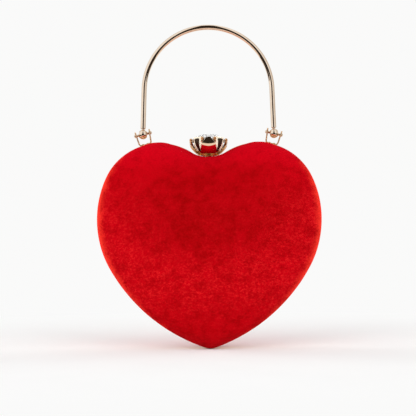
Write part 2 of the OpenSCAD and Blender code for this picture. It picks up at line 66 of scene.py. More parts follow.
FRAME_T = 5.0
FRAME_REACH = 5.0
WALL_T = 0.8
WEB_T = 1.0
PARTING = 0.2
LAYER_GAP = 0.15
VELVET_T = 1.0
WADDING_T = 2.0
SHELL_T = 1.6
LINING_T = 1.0

HINGE_Z = 3.0
KNUCKLE_R = 1.5
KNUCKLE_GAP = 0.2
BARREL_L = 12.0
MIDDLE_L = 4.0
HINGE_PIN_R = 0.7
PIN_HEAD_T = 0.3
POCKET_Y = 2.5
TIP_CLEAR = 24
SEAT_Y = 2.7

TOTAL_H = 245.6
PIVOT_SPAN = 99.6
ARCH_R = 48.6
WIRE_D = 4.0
BALL_D = 7.3
PIN_D = 2.0
PIN_RISE = 8.5
SHACKLE_Y = 2.6

FOOT_R = 7.8
RIM_R = 14.4
BOWL_POWER = 3.0
PETAL_H = 12.3
PETAL_T = 0.8
CLAWS = 8
CLAW_W = 2.1
CLAW_T = 1.2
KNOB_R = 1.1
CROWN_LEAN = 7.0
CROWN_RISE = 2.2
FLOOR_Z = 3.9
FLOOR_T = 0.8
SCREW_HOLE_R = 0.85
STONE_R = 12.9
STONE_TABLE_R = 5.4
STONE_STAR_R = 9.2
GIRDLE_Z = 10.5
GIRDLE_T = 0.8
STONE_TOP = 15.5
CULET_R = 3.6
CULET_Z = 6.35

RUN_GAP = 0.1
FIT = 0.05

# How near points are when they are merged, in new pieces, copied nodes and sheets
WELD = 0.002
NODE_WELD = 0.005
SHEET_WELD = 0.01

# How sharp an edge has to be to show, or to be eased, in degrees
CREASE = 40
SOFT_CREASE = 50
PLATE_EDGE = 35
ROUND_EDGE = 60

# How finely round pieces are divided
CHANNEL_STEP = 1.0
CORNER_STEPS = 4
KNUCKLE_SIDES = 40
WIRE_SIDES = 32
BALL_SIDES = 56
COLLAR_SIDES = 32
CUP_SIDES = 96
KNOB_SIDES = 20


# The outline's arcs

SIDE_C = np.array([HEART_W / 2 - SIDE_R, WIDEST_Z])
LOBE_Z = HEART_H - LOBE_R
LOBE_C = np.array(
    [SIDE_C[0] + math.sqrt((SIDE_R - LOBE_R) ** 2 - (LOBE_Z - WIDEST_Z) ** 2), LOBE_Z]
)
NOTCH_C = np.array([0.0, LOBE_Z + math.sqrt((LOBE_R + NOTCH_R) ** 2 - LOBE_C[0] ** 2)])
NOTCH_Z = NOTCH_C[1] - NOTCH_R
TIP_C = np.array([0.0, TIP_R])


def flank_centre():
    """The flank's arc holds the side's and the tip's, so two circles give its centre."""
    span = SIDE_C - TIP_C
    length = np.linalg.norm(span)
    from_side, from_tip = FLANK_R - SIDE_R, FLANK_R - TIP_R
    along = (from_tip**2 - from_side**2 + length**2) / (2 * length)
    across = math.sqrt(from_tip**2 - along**2)
    unit = span / length
    return TIP_C + unit * along + np.array([-unit[1], unit[0]]) * across


def angle_of(v):
    return math.atan2(v[1], v[0])


FLANK_C = flank_centre()
TIP_END = angle_of(TIP_C - FLANK_C)
FLANK_END = angle_of(SIDE_C - FLANK_C)
SIDE_END = angle_of(LOBE_C - SIDE_C)
LOBE_END = angle_of(NOTCH_C - LOBE_C)

# Centre, radius, first and last angle, and whether the arc is hollow
ARCS = [
    (TIP_C, TIP_R, -math.pi / 2, TIP_END, False),
    (FLANK_C, FLANK_R, TIP_END, FLANK_END, False),
    (SIDE_C, SIDE_R, FLANK_END, SIDE_END, False),
    (LOBE_C, LOBE_R, SIDE_END, LOBE_END, False),
    (NOTCH_C, NOTCH_R, LOBE_END - math.pi, -math.pi / 2, True),
]


def outline(step):
    """Points of the closed outline, a step apart from the tip round the right side, and their normals."""
    points, normals = [], []
    for centre, radius, start, end, hollow in ARCS:
        count = max(3, round(abs(end - start) * radius / step))
        for i in range(count):
            a = start + (end - start) * i / count
            d = np.array([math.cos(a), math.sin(a)])
            points.append(centre + radius * d)
            normals.append(-d if hollow else d)
    points.append(np.array([0.0, NOTCH_Z]))
    normals.append(np.array([0.0, 1.0]))
    right, facing = np.array(points), np.array(normals)
    other = [-1, 1]
    return (
        np.concatenate([right, right[-2:0:-1] * other]),
        np.concatenate([facing, facing[-2:0:-1] * other]),
    )


# Making meshes


def placed(name, mesh):
    """An object in the scene that holds a mesh."""
    piece = bpy.data.objects.new(name, mesh)
    bpy.context.scene.collection.objects.link(piece)
    return piece


def open_piece(name, points, edges, faces):
    """An object of points in millimetres, with its edges and faces as they are given."""
    mesh = bpy.data.meshes.new(name)
    mesh.from_pydata([tuple(float(c) * MM for c in p) for p in points], edges, faces)
    return placed(name, mesh)


def turn_out(mesh, smooth=None):
    """Merges doubles and turns the faces of a closed mesh outwards."""
    work = bmesh.new()
    work.from_mesh(mesh)
    bmesh.ops.remove_doubles(work, verts=work.verts, dist=WELD * MM)
    bmesh.ops.recalc_face_normals(work, faces=work.faces)
    if work.calc_volume(signed=True) < 0:
        bmesh.ops.reverse_faces(work, faces=work.faces)
    if smooth is not None:
        for face in work.faces:
            face.smooth = smooth
    work.to_mesh(mesh)
    work.free()


def new_piece(name, points, faces, smooth=True):
    """A closed piece from points in millimetres."""
    piece = open_piece(name, points, [], faces)
    turn_out(piece.data, smooth)
    return piece


def polar(r, a, z):
    """The point at radius r, angle a and height z about the upright axis."""
    return r * math.cos(a), r * math.sin(a), z


def path_piece(name, points):
    """A line of edges through the points."""
    return open_piece(name, points, [(i, i + 1) for i in range(len(points) - 1)], [])


def sheet_faces(rows, across):
    """Faces between rows of points, each with one point more than it has faces across."""
    n = across + 1
    return [
        (j * n + i, j * n + i + 1, (j + 1) * n + i + 1, (j + 1) * n + i)
        for j in range(rows - 1) for i in range(across)
    ]


def sheet_piece(name, points, rows, across):
    """A sheet of evenly joined rows of points."""
    return open_piece(name, points, [], sheet_faces(rows, across))


def settle(piece, crease=None):
    """Turns a piece with modifiers into a plain mesh, and its edges over the crease angle into sharp ones."""
    depsgraph = bpy.context.evaluated_depsgraph_get()
    mesh = bpy.data.meshes.new_from_object(piece.evaluated_get(depsgraph))
    piece.modifiers.clear()
    old = piece.data
    piece.data = mesh
    if old.users == 0:
        bpy.data.meshes.remove(old)
    if crease is not None:
        sharpen(piece, crease)
    return piece


def sharpen(piece, crease):
    """Shades a piece smooth, apart from its edges over the crease angle."""
    work = bmesh.new()
    work.from_mesh(piece.data)
    for face in work.faces:
        face.smooth = True
    for edge in work.edges:
        if len(edge.link_faces) == 2:
            edge.smooth = edge.calc_face_angle(0.0) < math.radians(crease)
    work.to_mesh(piece.data)
    work.free()


def tidy(piece, crease):
    """Merges doubles, turns faces outwards and splits sharp edges in shading."""
    turn_out(piece.data)
    sharpen(piece, crease)


def cut(piece, tool, operation="DIFFERENCE"):
    """One boolean of a piece with a tool, which is used up."""
    modifier = piece.modifiers.new("cut", "BOOLEAN")
    modifier.operation = operation
    modifier.solver = "EXACT"
    modifier.object = tool
    settle(piece)
    bpy.data.objects.remove(tool)
    return piece


def bevel(piece, width, angle, segments):
    """Eases the edges over an angle, in degrees."""
    modifier = piece.modifiers.new("bevel", "BEVEL")
    modifier.width = width * MM
    modifier.segments = segments
    modifier.limit_method = "ANGLE"
    modifier.angle_limit = math.radians(angle)
    modifier.use_clamp_overlap = True
    return settle(piece, SOFT_CREASE)


def stack(rings, closed_top=None, closed_bottom=None, loop=False):
    """Points and faces of equal rings in a row, with a pole at either end, or joined in a loop."""
    n, rows = len(rings[0]), len(rings)
    points = [p for ring in rings for p in ring]
    faces = []
    for j in range(rows if loop else rows - 1):
        a, b = j * n, ((j + 1) % rows) * n
        for i in range(n):
            k = (i + 1) % n
            faces.append((a + i, a + k, b + k, b + i))
    for pole, row in ((closed_bottom, 0), (closed_top, rows - 1)):
        if pole is not None:
            points.append(pole)
            at = len(points) - 1
            for i in range(n):
                faces.append((row * n + i, row * n + (i + 1) % n, at))
    return points, faces


def lathe(name, profile, sides, axis="Z", place=(0, 0, 0), loop=False):
    """Turns a profile of (radius, height) about an axis through place, with a pole where a radius is 0."""
    def point(r, h, a):
        u, v = r * math.cos(a), r * math.sin(a)
        turned = (u, v, h) if axis == "Z" else (h, u, v)
        return tuple(c + o for c, o in zip(turned, place))

    def pole(end):
        return None if end[0] else point(0, end[1], 0)

    rings = [[point(r, h, 2 * math.pi * i / sides) for i in range(sides)] for r, h in profile if r]
    points, faces = stack(rings, closed_top=pole(profile[-1]), closed_bottom=pole(profile[0]), loop=loop)
    return new_piece(name, points, faces)


def round_corners(corners, steps):
    """A closed polygon of (x, y, radius) with each corner rounded."""
    rounded = []
    count = len(corners)
    for i, (x, y, r) in enumerate(corners):
        here = np.array([x, y])
        before = np.array(corners[i - 1][:2]) - here
        after = np.array(corners[(i + 1) % count][:2]) - here
        u, v = before / np.linalg.norm(before), after / np.linalg.norm(after)
        half = math.acos(max(-1.0, min(1.0, float(u @ v)))) / 2
        reach = r / math.tan(half)
        centre = here + (u + v) / np.linalg.norm(u + v) * r / math.sin(half)
        start = angle_of(here + u * reach - centre)
        end = angle_of(here + v * reach - centre)
        turn = (end - start + math.pi) % (2 * math.pi) - math.pi
        for k in range(steps + 1):
            a = start + turn * k / steps
            rounded.append(centre + r * np.array([math.cos(a), math.sin(a)]))
    return rounded


def box_tool(x, y, z):
    """A block between two corners, each side given as (low, high)."""
    points = [(a, b, c) for a in x for b in y for c in z]
    faces = [(0, 1, 3, 2), (4, 6, 7, 5), (0, 4, 5, 1), (2, 3, 7, 6), (0, 2, 6, 4), (1, 5, 7, 3)]
    return new_piece("tool", points, faces, smooth=False)


def rod_tool(x0, x1, radius):
    """A round bar along the hinge's axis."""
    profile = [(0, x0), (radius, x0), (radius, x1), (0, x1)]
    return lathe("tool", profile, KNUCKLE_SIDES, "X", (0, 0, HINGE_Z))


# Node trees


class Wire:
    """One output in a node tree. Python's operators add Math nodes to it."""

    def __init__(self, sheet, socket):
        self.sheet = sheet
        self.socket = socket

    def __add__(self, other):
        return self.sheet.maths("ADD", self, other)

    def __sub__(self, other):
        return self.sheet.maths("SUBTRACT", self, other)

    def __mul__(self, other):
        return self.sheet.maths("MULTIPLY", self, other)

    def __truediv__(self, other):
        return self.sheet.maths("DIVIDE", self, other)


class Sheet:
    """A node tree, for a finish or for geometry."""

    def __init__(self, tree):
        self.tree = tree

    def add(self, kind, settings=None, values=None, output=0):
        """Any node: its settings are set first, then the values or links of its sockets."""
        node = self.tree.nodes.new(kind)
        for key, value in (settings or {}).items():
            setattr(node, key, value)
        for key, value in (values or {}).items():
            if isinstance(value, Wire):
                self.tree.links.new(value.socket, node.inputs[key])
            else:
                node.inputs[key].default_value = value
        return Wire(self, node.outputs[output]) if node.outputs else node

    def maths(self, operation, a, b):
        return self.add("ShaderNodeMath", {"operation": operation}, {0: a, 1: b})


def geometry_tree(name, inputs, output):
    """A new geometry tree as a sheet, with the wires of its named inputs."""
    group = bpy.data.node_groups.new(name, "GeometryNodeTree")
    for title, kind in inputs:
        group.interface.new_socket(title, in_out="INPUT", socket_type=kind)
    group.interface.new_socket(output, in_out="OUTPUT", socket_type="NodeSocketGeometry")
    s = Sheet(group)
    given = group.nodes.new("NodeGroupInput")
    return s, [Wire(s, given.outputs[i]) for i in range(len(inputs))]


def end_tree(s, shape, finish):
    """Ends a geometry tree in real geometry with its finish on."""
    real = s.add("GeometryNodeRealizeInstances", {}, {"Geometry": shape})
    done = s.add("GeometryNodeSetMaterial", {}, {"Geometry": real, "Material": finish})
    s.add("NodeGroupOutput", {}, {0: done})
    return s.tree


def grow(piece, group, values):
    """Runs a geometry tree on a piece with its named inputs, and keeps the result as a plain mesh."""
    modifier = piece.modifiers.new("grow", "NODES")
    modifier.node_group = group
    names = {
        item.name: item.identifier
        for item in group.interface.items_tree
        if item.item_type == "SOCKET" and item.in_out == "INPUT"
    }
    for name, value in values.items():
        modifier[names[name]] = value
    return settle(piece)


class Finish(Sheet):
    """A material made of nodes."""

    def __init__(self, name):
        self.material = bpy.data.materials.new(name)
        self.material.use_nodes = True
        super().__init__(self.material.node_tree)
        self.tree.nodes.clear()
        self.place = self.add("ShaderNodeTexCoord", output="Object")

    def noise(self, size, detail=2.0, rough=0.5, place=None):
        """Noise whose patches are about size millimetres wide."""
        return self.add(
            "ShaderNodeTexNoise",
            {"noise_dimensions": "3D"},
            {"Vector": place or self.place, "Scale": 1 / (size * MM), "Detail": detail, "Roughness": rough},
        )

    def stretched(self, x, y, z):
        """Object coordinates, scaled along each axis."""
        return self.add("ShaderNodeMapping", {}, {"Vector": self.place, "Scale": (x, y, z)})

    def spread(self, wire, low, high, to_low=0.0, to_high=1.0):
        """A value between low and high, spread smoothly over a new range and held at its ends."""
        return self.add(
            "ShaderNodeMapRange",
            {"interpolation_type": "SMOOTHSTEP"},
            {"Value": wire, "From Min": low, "From Max": high, "To Min": to_low, "To Max": to_high},
        )

    def usual(self, pattern, low=0.0, high=1.0):
        """A value that runs from low to high over the usual range of a noise."""
        return self.spread(pattern, 0.3, 0.7, low, high)

    def over(self, length, low, high, *to):
        """A value that follows a length between low and high millimetres."""
        return self.spread(length, low * MM, high * MM, *to)

    def mix(self, a, b, factor):
        """Colour a, turned into colour b by the factor. The node's sockets for colours have numbers only."""
        return self.add("ShaderNodeMix", {"data_type": "RGBA"}, {0: factor, 6: a, 7: b}, 2)

    def bump(self, height, depth, strength):
        """A bump whose full height is depth millimetres."""
        values = {"Height": height, "Distance": depth * MM, "Strength": strength}
        return self.add("ShaderNodeBump", {}, values)

    def surface(self, values):
        """Ends the material in one Principled surface."""
        return self.end(self.add("ShaderNodeBsdfPrincipled", {}, values))

    def coat(self, pattern, tones, rough, relief, metal=0.0):
        """A surface whose tone, haze and relief, a bump's depth and strength, follow one pattern."""
        dark, light = tones
        return self.surface(
            {
                "Base Color": self.mix(rgb(*dark), rgb(*light), pattern),
                "Metallic": metal,
                "Roughness": self.usual(pattern, *rough),
                "Normal": self.bump(pattern, *relief),
            }
        )

    def end(self, shader):
        self.add("ShaderNodeOutputMaterial", {}, {"Surface": shader})
        return self.material


def rgb(r, g, b):
    """A colour given as it shows, in 0 to 255, made linear."""
    def linear(c):
        c /= 255
        return c / 12.92 if c <= 0.04045 else ((c + 0.055) / 1.055) ** 2.4

    return (linear(r), linear(g), linear(b), 1.0)


# Finishes

# The velvet's painted shade, darkest in an oval: the middle of the field, and how far it is narrowed along x,
# y and z
SHADE_MIDDLE = (-2, 0, 104)
SHADE_SHARES = (0.78, 0.0, 1.3)


def velvet_finish():
    """Crushed red pile with a fine nap, with painted shade darker in the middle and towards the tip, a
    painted highlight on the lobe tops and a painted sheen at the sides.
    """
    f = Finish("red_velvet")
    clouds = f.noise(34)
    patches = f.noise(7, 3.5, 0.64, f.stretched(0.9, 1, 1.05))
    streaks = f.noise(6, 3.0, 0.6, f.stretched(0.5, 1, 1.7))
    nap = f.noise(1.6, 3.0, 0.72, f.stretched(0.85, 1, 1.15))
    pile = f.noise(0.4, 1.0, 0.5)

    # Painted shade: the pile is darker in an oval about the middle, lighter towards the rim, and darker again
    # towards the tip
    flat = f.add("ShaderNodeVectorMath", {"operation": "MULTIPLY"}, {0: f.place, 1: SHADE_SHARES})
    middle = tuple(share * at * MM for share, at in zip(SHADE_SHARES, SHADE_MIDDLE))
    away = f.add("ShaderNodeVectorMath", {"operation": "DISTANCE"}, {0: flat, 1: middle}, "Value")
    height_here = f.add("ShaderNodeSeparateXYZ", {}, {"Vector": f.place}, "Z")
    painted_shade = f.over(away, 18, 76) * f.over(height_here, 4, 48, 0.45, 1.0)
    light = f.spread(clouds * 0.3 + patches * 0.55 + streaks * 0.15, 0.36, 0.64)
    body = f.mix(rgb(156, 0, 4), rgb(195, 0, 16), light * 0.5 + painted_shade * 0.5)
    # A painted highlight: the cover turns lighter towards the tops of the lobes
    body = f.mix(body, rgb(214, 0, 25), f.over(height_here, 131, 153) * 0.6)

    # A painted sheen: the pile turns lighter and orange where the cover turns to its sides, more so lower
    # down
    facing = f.add("ShaderNodeTexCoord", output="Normal")
    sideways = f.add("ShaderNodeSeparateXYZ", {}, {"Vector": facing})
    turned = f.maths("ABSOLUTE", sideways, 0.0)
    flank = f.over(height_here, 96, 52, 1.0, 1.14)
    painted_side_sheen = f.spread(turned * flank + patches * 0.44 + nap * 0.3 - 0.37, 0.48, 1.04)
    body = f.mix(body, rgb(244, 56, 40), painted_side_sheen)

    # Lighter specks of nap, most of all round the darker middle and away from the tip and the lobe tops
    specks = f.spread(nap, 0.42, 0.68) * f.spread(patches * 0.6 + streaks * 0.4, 0.38, 0.6, 0.25, 1.0)
    below = f.over(away, 26, 72, 0.16, 0.7) * f.over(height_here, 14, 50, 0.25, 1.0)
    below = below * f.over(height_here, 134, 100, 0.15, 1.0)
    colour = f.mix(body, rgb(232, 34, 36), specks * below)
    dimmed = f.mix(colour, rgb(132, 0, 2), f.spread(nap * 0.4 + patches * 0.6, 0.5, 0.32) * 0.3)
    height = patches * 0.5 + nap * 0.3 + pile * 0.2
    return f.surface(
        {
            "Base Color": dimmed,
            "Roughness": 0.95,
            "Specular IOR Level": 0.03,
            "Sheen Weight": 0.34,
            "Sheen Roughness": 0.22,
            "Sheen Tint": rgb(255, 44, 44),
            "Normal": f.bump(height, 0.5, 0.7),
        }
    )


def gold_finish(name, base, rough):
    """Polished plate with faint wiping marks and a breath of haze."""
    f = Finish(name)
    haze = f.noise(9, 3.0, 0.6)
    wipes = f.noise(1.6, 2.0, 0.5, f.stretched(0.35, 1, 1.6))
    tone = f.usual(haze)
    r, g, b = base
    colour = f.mix(rgb(r - 5, g - 9, b - 11), rgb(r + 3, g + 3, b + 3), tone)
    return f.surface(
        {
            "Base Color": colour,
            "Metallic": 1.0,
            "Roughness": f.usual(haze * 0.6 + wipes * 0.4, rough * 0.7, rough * 1.5),
            "Normal": f.bump(wipes, 0.004, 0.25),
        }
    )


def steel_finish():
    """Bright drawn steel of the pins and rivets, with fine lines."""
    f = Finish("bright_steel")
    lines = f.noise(0.5, 2.0, 0.6, f.stretched(0.1, 1, 1))
    return f.coat(lines, ((176, 176, 178), (212, 212, 214)), (0.2, 0.34), (0.01, 0.4), metal=1.0)


def foil_finish():
    """The crinkled mirror foil under the stone."""
    f = Finish("mirror_foil")
    crinkle = f.noise(1.3, 3.0, 0.6)
    return f.coat(crinkle, ((216, 206, 198), (240, 234, 228)), (0.05, 0.12), (0.05, 0.5), metal=1.0)


def glass_finish():
    """The clear stone, with a breath of haze."""
    f = Finish("clear_stone")
    breath = f.noise(6)
    return f.surface(
        {
            "Base Color": f.mix(rgb(250, 248, 248), rgb(255, 254, 254), breath),
            "Roughness": f.usual(breath, 0.0, 0.02),
            "IOR": 1.54,
            "Transmission Weight": 0.7,
        }
    )


def satin_finish():
    """Champagne satin: fine ribs of the weave across soft folds."""
    f = Finish("champagne_satin")
    ribs = f.add(
        "ShaderNodeTexWave",
        {"wave_type": "BANDS", "bands_direction": "DIAGONAL"},
        {"Vector": f.place, "Scale": 2200.0, "Distortion": 0.6, "Detail": 1.0},
    )
    folds = f.noise(22, 2.0, 0.5, f.stretched(1, 1, 0.5))
    slubs = f.noise(1.8, 2.0, 0.6, f.stretched(0.2, 1, 1))
    colour = f.mix(rgb(206, 174, 140), rgb(232, 208, 178), f.spread(folds * 0.7 + slubs * 0.3, 0.35, 0.65))
    return f.surface(
        {
            "Base Color": colour,
            "Roughness": f.usual(slubs, 0.3, 0.42),
            "Specular IOR Level": 0.6,
            "Sheen Weight": 0.25,
            "Sheen Roughness": 0.3,
            "Normal": f.bump(ribs * 0.4 + slubs * 0.6, 0.05, 0.5),
        }
    )


def shell_finish():
    """The grey moulded board under the velvet."""
    f = Finish("moulded_shell")
    grain = f.noise(0.8, 3.0, 0.6)
    return f.coat(grain, ((112, 112, 114), (134, 134, 136)), (0.5, 0.66), (0.04, 0.5))


def wadding_finish():
    """White fluffy wadding."""
    f = Finish("white_wadding")
    fluff = f.noise(1.6, 5.0, 0.7)
    return f.surface(
        {
            "Base Color": f.mix(rgb(226, 223, 216), rgb(248, 246, 241), fluff),
            "Roughness": 0.95,
            "Sheen Weight": 0.3,
            "Normal": f.bump(fluff, 0.5, 0.8),
        }
    )


def painted_highlight_finish():
    """A pale cream sheet inside the cup, seen between its petals: a painted highlight where the cup shows
    bright.
    """
    f = Finish("cream_lacquer")
    haze = f.noise(4)
    return f.coat(haze, ((252, 238, 208), (255, 248, 228)), (0.3, 0.42), (0.01, 0.3))


GOLD = gold_finish("champagne_gold", (242, 224, 204), 0.05)
STRAP_GOLD = gold_finish("cut_edge_gold", (252, 220, 180), 0.6)
FRAME_GOLD = gold_finish("frame_gold", (246, 214, 174), 0.4)
AMBER_GOLD = gold_finish("amber_gold", (226, 176, 128), 0.12)
# The strips between the petals get a dark gold: painted shade
STRIP_PAINTED_SHADE = gold_finish("dark_bronze", (82, 70, 58), 0.45)
FOOT_GOLD = gold_finish("foot_gold", (240, 184, 98), 0.3)
PETAL_GOLD = gold_finish("petal_gold", (252, 237, 214), 0.04)


HIGHLIGHT_CREAM = painted_highlight_finish()
SLOT_FINISH = {
    "gold": GOLD,
    "velvet": velvet_finish(),
    "steel": steel_finish(),
    "foil": foil_finish(),
    "stone": glass_finish(),
    "lining": satin_finish(),
    "shell": shell_finish(),
    "wadding": wadding_finish(),
}


def paint(piece, finish):
    piece.data.materials.clear()
    piece.data.materials.append(finish)


def seat(piece, body, slot, *nodes, finish=None):
    """Gives a new piece its finish and its body, and hides the CAD nodes that it stands for."""
    paint(piece, finish or SLOT_FINISH[slot])
    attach(piece, body)
    if nodes:
        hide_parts(*nodes)
    return piece


# Every CAD node first gets the finish of its slot, and what stays shown keeps it
for part in frame["record"]["subparts"]:
    paint(frame["nodes"][part["node"]], SLOT_FINISH[part["material_slot"]])


# Soft layers


def dome_curve(top, start_y, rows):
    """Evenly spaced (share of the outline, height) pairs from the rim over the dome to its top."""
    bend = 2 / DOME_POWER
    fine = [(1.0, y) for y in np.linspace(start_y, FRAME_T, 8)[:-1]]
    for a in np.radians(np.linspace(0, 90, 400)):
        fine.append((max(math.cos(a), 0.0) ** bend, FRAME_T + (top - FRAME_T) * math.sin(a) ** bend))
    fine = np.array(fine)
    across = HEART_W / 2
    steps = np.hypot(np.diff(fine[:, 0]) * across, np.diff(fine[:, 1]))
    run = np.concatenate([[0], np.cumsum(steps)])
    at = np.linspace(0, run[-1], rows + 1)
    return [(np.interp(t, run, fine[:, 0]), np.interp(t, run, fine[:, 1])) for t in at]


def dome_rings(points, normals, offset, start_y, top, rows):
    """Rings of a dome over the outline moved in by offset, without the last, which is its top point."""
    base = points - normals * offset
    rings = []
    for share, y in dome_curve(top, start_y, rows)[:-1]:
        ring = np.empty((len(base), 3))
        ring[:, 0] = base[:, 0] * share
        ring[:, 1] = y
        ring[:, 2] = CREST_Z + share * (base[:, 1] - CREST_Z)
        rings.append(ring)
    return rings


def layer(name, offset, thickness, start_y, top, step, rows, side, outer_shift=None, inner_shift=None):
    """A closed layer over one half. The shifts move its outer and inner faces along the dome."""
    points, normals = outline(step)
    outer = dome_rings(points, normals, offset, start_y, top, rows)
    inner = dome_rings(points, normals, offset + thickness, start_y, top - thickness, rows)
    if outer_shift:
        outer = outer_shift(outer)
    if inner_shift:
        inner = inner_shift(inner)
    upper, upper_faces = stack(outer, closed_top=(0, top, CREST_Z))
    lower, lower_faces = stack(inner, closed_top=(0, top - thickness, CREST_Z))
    n, shift = len(points), len(upper)
    faces = list(upper_faces) + [tuple(i + shift for i in f) for f in lower_faces]
    for i in range(n):
        k = (i + 1) % n
        faces.append((i, k, shift + k, shift + i))
    whole = np.array([tuple(p) for p in upper] + [tuple(p) for p in lower])
    whole[:, 1] *= side
    return new_piece(name, whole, faces)


def pushed(rings, amount):
    """Moves the points of a stack of rings along their normals by amount(point, share of the rows)."""
    grid = np.array(rings)
    around = np.roll(grid, -1, axis=1) - np.roll(grid, 1, axis=1)
    along = np.gradient(grid, axis=0)
    facing = np.cross(around, along)
    facing /= np.linalg.norm(facing, axis=2, keepdims=True) + 1e-12
    centre = np.array([0, 0, CREST_Z])
    if np.mean(np.sum(facing * (grid - centre), axis=2)) < 0:
        facing = -facing
    rows = len(rings)
    for j in range(rows):
        for i in range(grid.shape[1]):
            grid[j, i] += facing[j, i] * amount(grid[j, i], j / (rows - 1))
    return list(grid)


# Shares of the way up the dome: where the velvet's swell has faded in, how long before the crest it
# fades out, and how far the welling over the rim and in the notch reaches
EDGE_FADE = 0.12
CREST_FADE = 0.1
RIM_SHARE = 0.32
NOTCH_SHARE = 0.45

# How far the velvet swells softly, and how wide such swellings are
BROAD_SWELL = 0.3
BROAD_SIZE = 26
SMALL_SWELL = 0.12
SMALL_SIZE = 9
SMALL_START = Vector((7, 3, 5))

# How far it wells up over the rim, how much more at the straps, and how far in the notch, with the
# reach of each along the rim, and the height over the frame within which it rises
RIM_WELL = 0.95
RIM_RISE = 1.6
STRAP_WELL = 0.95
STRAP_REACH = 9
STRAP_X = LOBE_C[0] + 1.5
NOTCH_WELL = 2.7
NOTCH_REACH = 17
NOTCH_X = 1.0
NOTCH_RISE = 7.0


def velvet_swell(p, row, front):
    """The cover's soft unevenness, and how it wells up over the rim, most at the notch and the straps."""
    fade = min(1.0, row / EDGE_FADE) * min(1.0, (1 - row) / CREST_FADE)
    broad = noise.noise(Vector(p) / BROAD_SIZE)
    small = noise.noise(Vector(p) / SMALL_SIZE + SMALL_START)
    over_frame = max(0.0, p[1] - FRAME_T)
    upper = p[2] > CREST_Z
    at_notch = math.exp(-((p[0] - NOTCH_X) / NOTCH_REACH) ** 2) if upper else 0.0
    at_straps = math.exp(-((abs(p[0]) - STRAP_X) / STRAP_REACH) ** 4) if upper else 0.0
    welling = RIM_WELL + STRAP_WELL * at_straps
    welling *= min(1.0, over_frame / RIM_RISE) * max(0.0, 1 - row / RIM_SHARE) ** 1.3
    if front:
        puff = NOTCH_WELL * at_notch * min(1.0, over_frame / NOTCH_RISE)
        puff *= max(0.0, 1 - row / NOTCH_SHARE)
        welling = max(welling, puff)
    else:
        # The crown leans back over this half, so the cover stays low at the notch
        welling *= 1 - at_notch
    return fade * (BROAD_SWELL * broad + SMALL_SWELL * small) + welling


# Pleats along each radian, how far and how often they sway, how deep they are, and the shares of the
# way up the dome at which they have faded in and have ended
PLEATS_PER_RADIAN = 46
PLEAT_SWAY = 1.5
SWAYS_PER_RADIAN = 5
PLEAT_DEPTH = 0.22
PLEAT_START = 0.08
PLEAT_END = 0.8


def satin_pleats(p, row):
    """Shallow gathers that fan out from the crest and fade towards it."""
    fan = math.atan2(p[0], p[2] - CREST_Z)
    wave = math.sin(fan * PLEATS_PER_RADIAN + PLEAT_SWAY * math.sin(fan * SWAYS_PER_RADIAN))
    fade = min(1.0, row / PLEAT_START) * max(0.0, 1 - row / PLEAT_END)
    return -fade * PLEAT_DEPTH * (1 + wave)


# How far in from the outline each layer's edge lies, and how high its top
VELVET_IN = WALL_T + LAYER_GAP
SHELL_IN = VELVET_IN + VELVET_T + LAYER_GAP
LINING_IN = FRAME_REACH + LAYER_GAP
VELVET_TOP = CASE_T / 2
WADDING_TOP = VELVET_TOP - VELVET_T - LAYER_GAP
SHELL_TOP = WADDING_TOP - WADDING_T - LAYER_GAP
LINING_TOP = SHELL_TOP - SHELL_T - LAYER_GAP

# The wadding is pressed a little flatter than its room, and starts this high over the parting
PRESSED = 0.3
WADDING_FOOT = FRAME_T + 1

# The distance of points along the outline, and the rows of points up the dome
FINE_STEP = 1.4
PLAIN_STEP = 4.0
VELVET_ROWS = 56
LINING_ROWS = 44
PLAIN_ROWS = 20


def dress_half(half, side):
    """Velvet, wadding, moulded shell and satin of one half."""
    cover = layer(
        f"{half}_velvet_cover", VELVET_IN, VELVET_T, SEAT_Y, VELVET_TOP, FINE_STEP, VELVET_ROWS, side,
        outer_shift=lambda rings: pushed(rings, lambda p, row: velvet_swell(p, row, side < 0)),
    )
    seat(cover, half, "velvet", f"{half}_velvet")
    pad = layer(
        f"{half}_wadding_pad", SHELL_IN, WADDING_T - PRESSED, WADDING_FOOT, WADDING_TOP - PRESSED,
        PLAIN_STEP, PLAIN_ROWS, side,
    )
    seat(pad, half, "wadding", f"{half}_wadding")
    moulding = layer(
        f"{half}_moulding", SHELL_IN, SHELL_T, SEAT_Y, SHELL_TOP, PLAIN_STEP, PLAIN_ROWS, side
    )
    seat(moulding, half, "shell", f"{half}_shell")
    satin = layer(
        f"{half}_satin", LINING_IN, LINING_T, PARTING, LINING_TOP, FINE_STEP, LINING_ROWS, side,
        inner_shift=lambda rings: pushed(rings, satin_pleats),
    )
    seat(satin, half, "lining", f"{half}_lining")


dress_half("front", -1)
dress_half("back", 1)


# Gold channels and the hinge

CHANNEL = round_corners(
    [
        (0.0, PARTING / 2, 0.35),
        (0.0, FRAME_T, 0.34),
        (WALL_T, FRAME_T, 0.34),
        (WALL_T, PARTING / 2 + WEB_T, 0.3),
        (FRAME_REACH - WALL_T, PARTING / 2 + WEB_T, 0.3),
        (FRAME_REACH - WALL_T, FRAME_T, 0.34),
        (FRAME_REACH, FRAME_T, 0.34),
        (FRAME_REACH, PARTING / 2, 0.35),
    ],
    CORNER_STEPS,
)


def channel(name, side):
    """The bent channel of one frame, swept round the outline."""
    points, normals = outline(CHANNEL_STEP)
    rings = [
        [(p[0] - d * n[0], side * y, p[1] - d * n[1]) for d, y in CHANNEL]
        for p, n in zip(points, normals)
    ]
    whole, faces = stack(rings, loop=True)
    return new_piece(name, whole, faces)


# How far a knuckle's edges are eased, and how deep the middle point of that rounding lies
KNUCKLE_EASE = 0.18
EASE_MIDDLE = KNUCKLE_EASE * 0.3


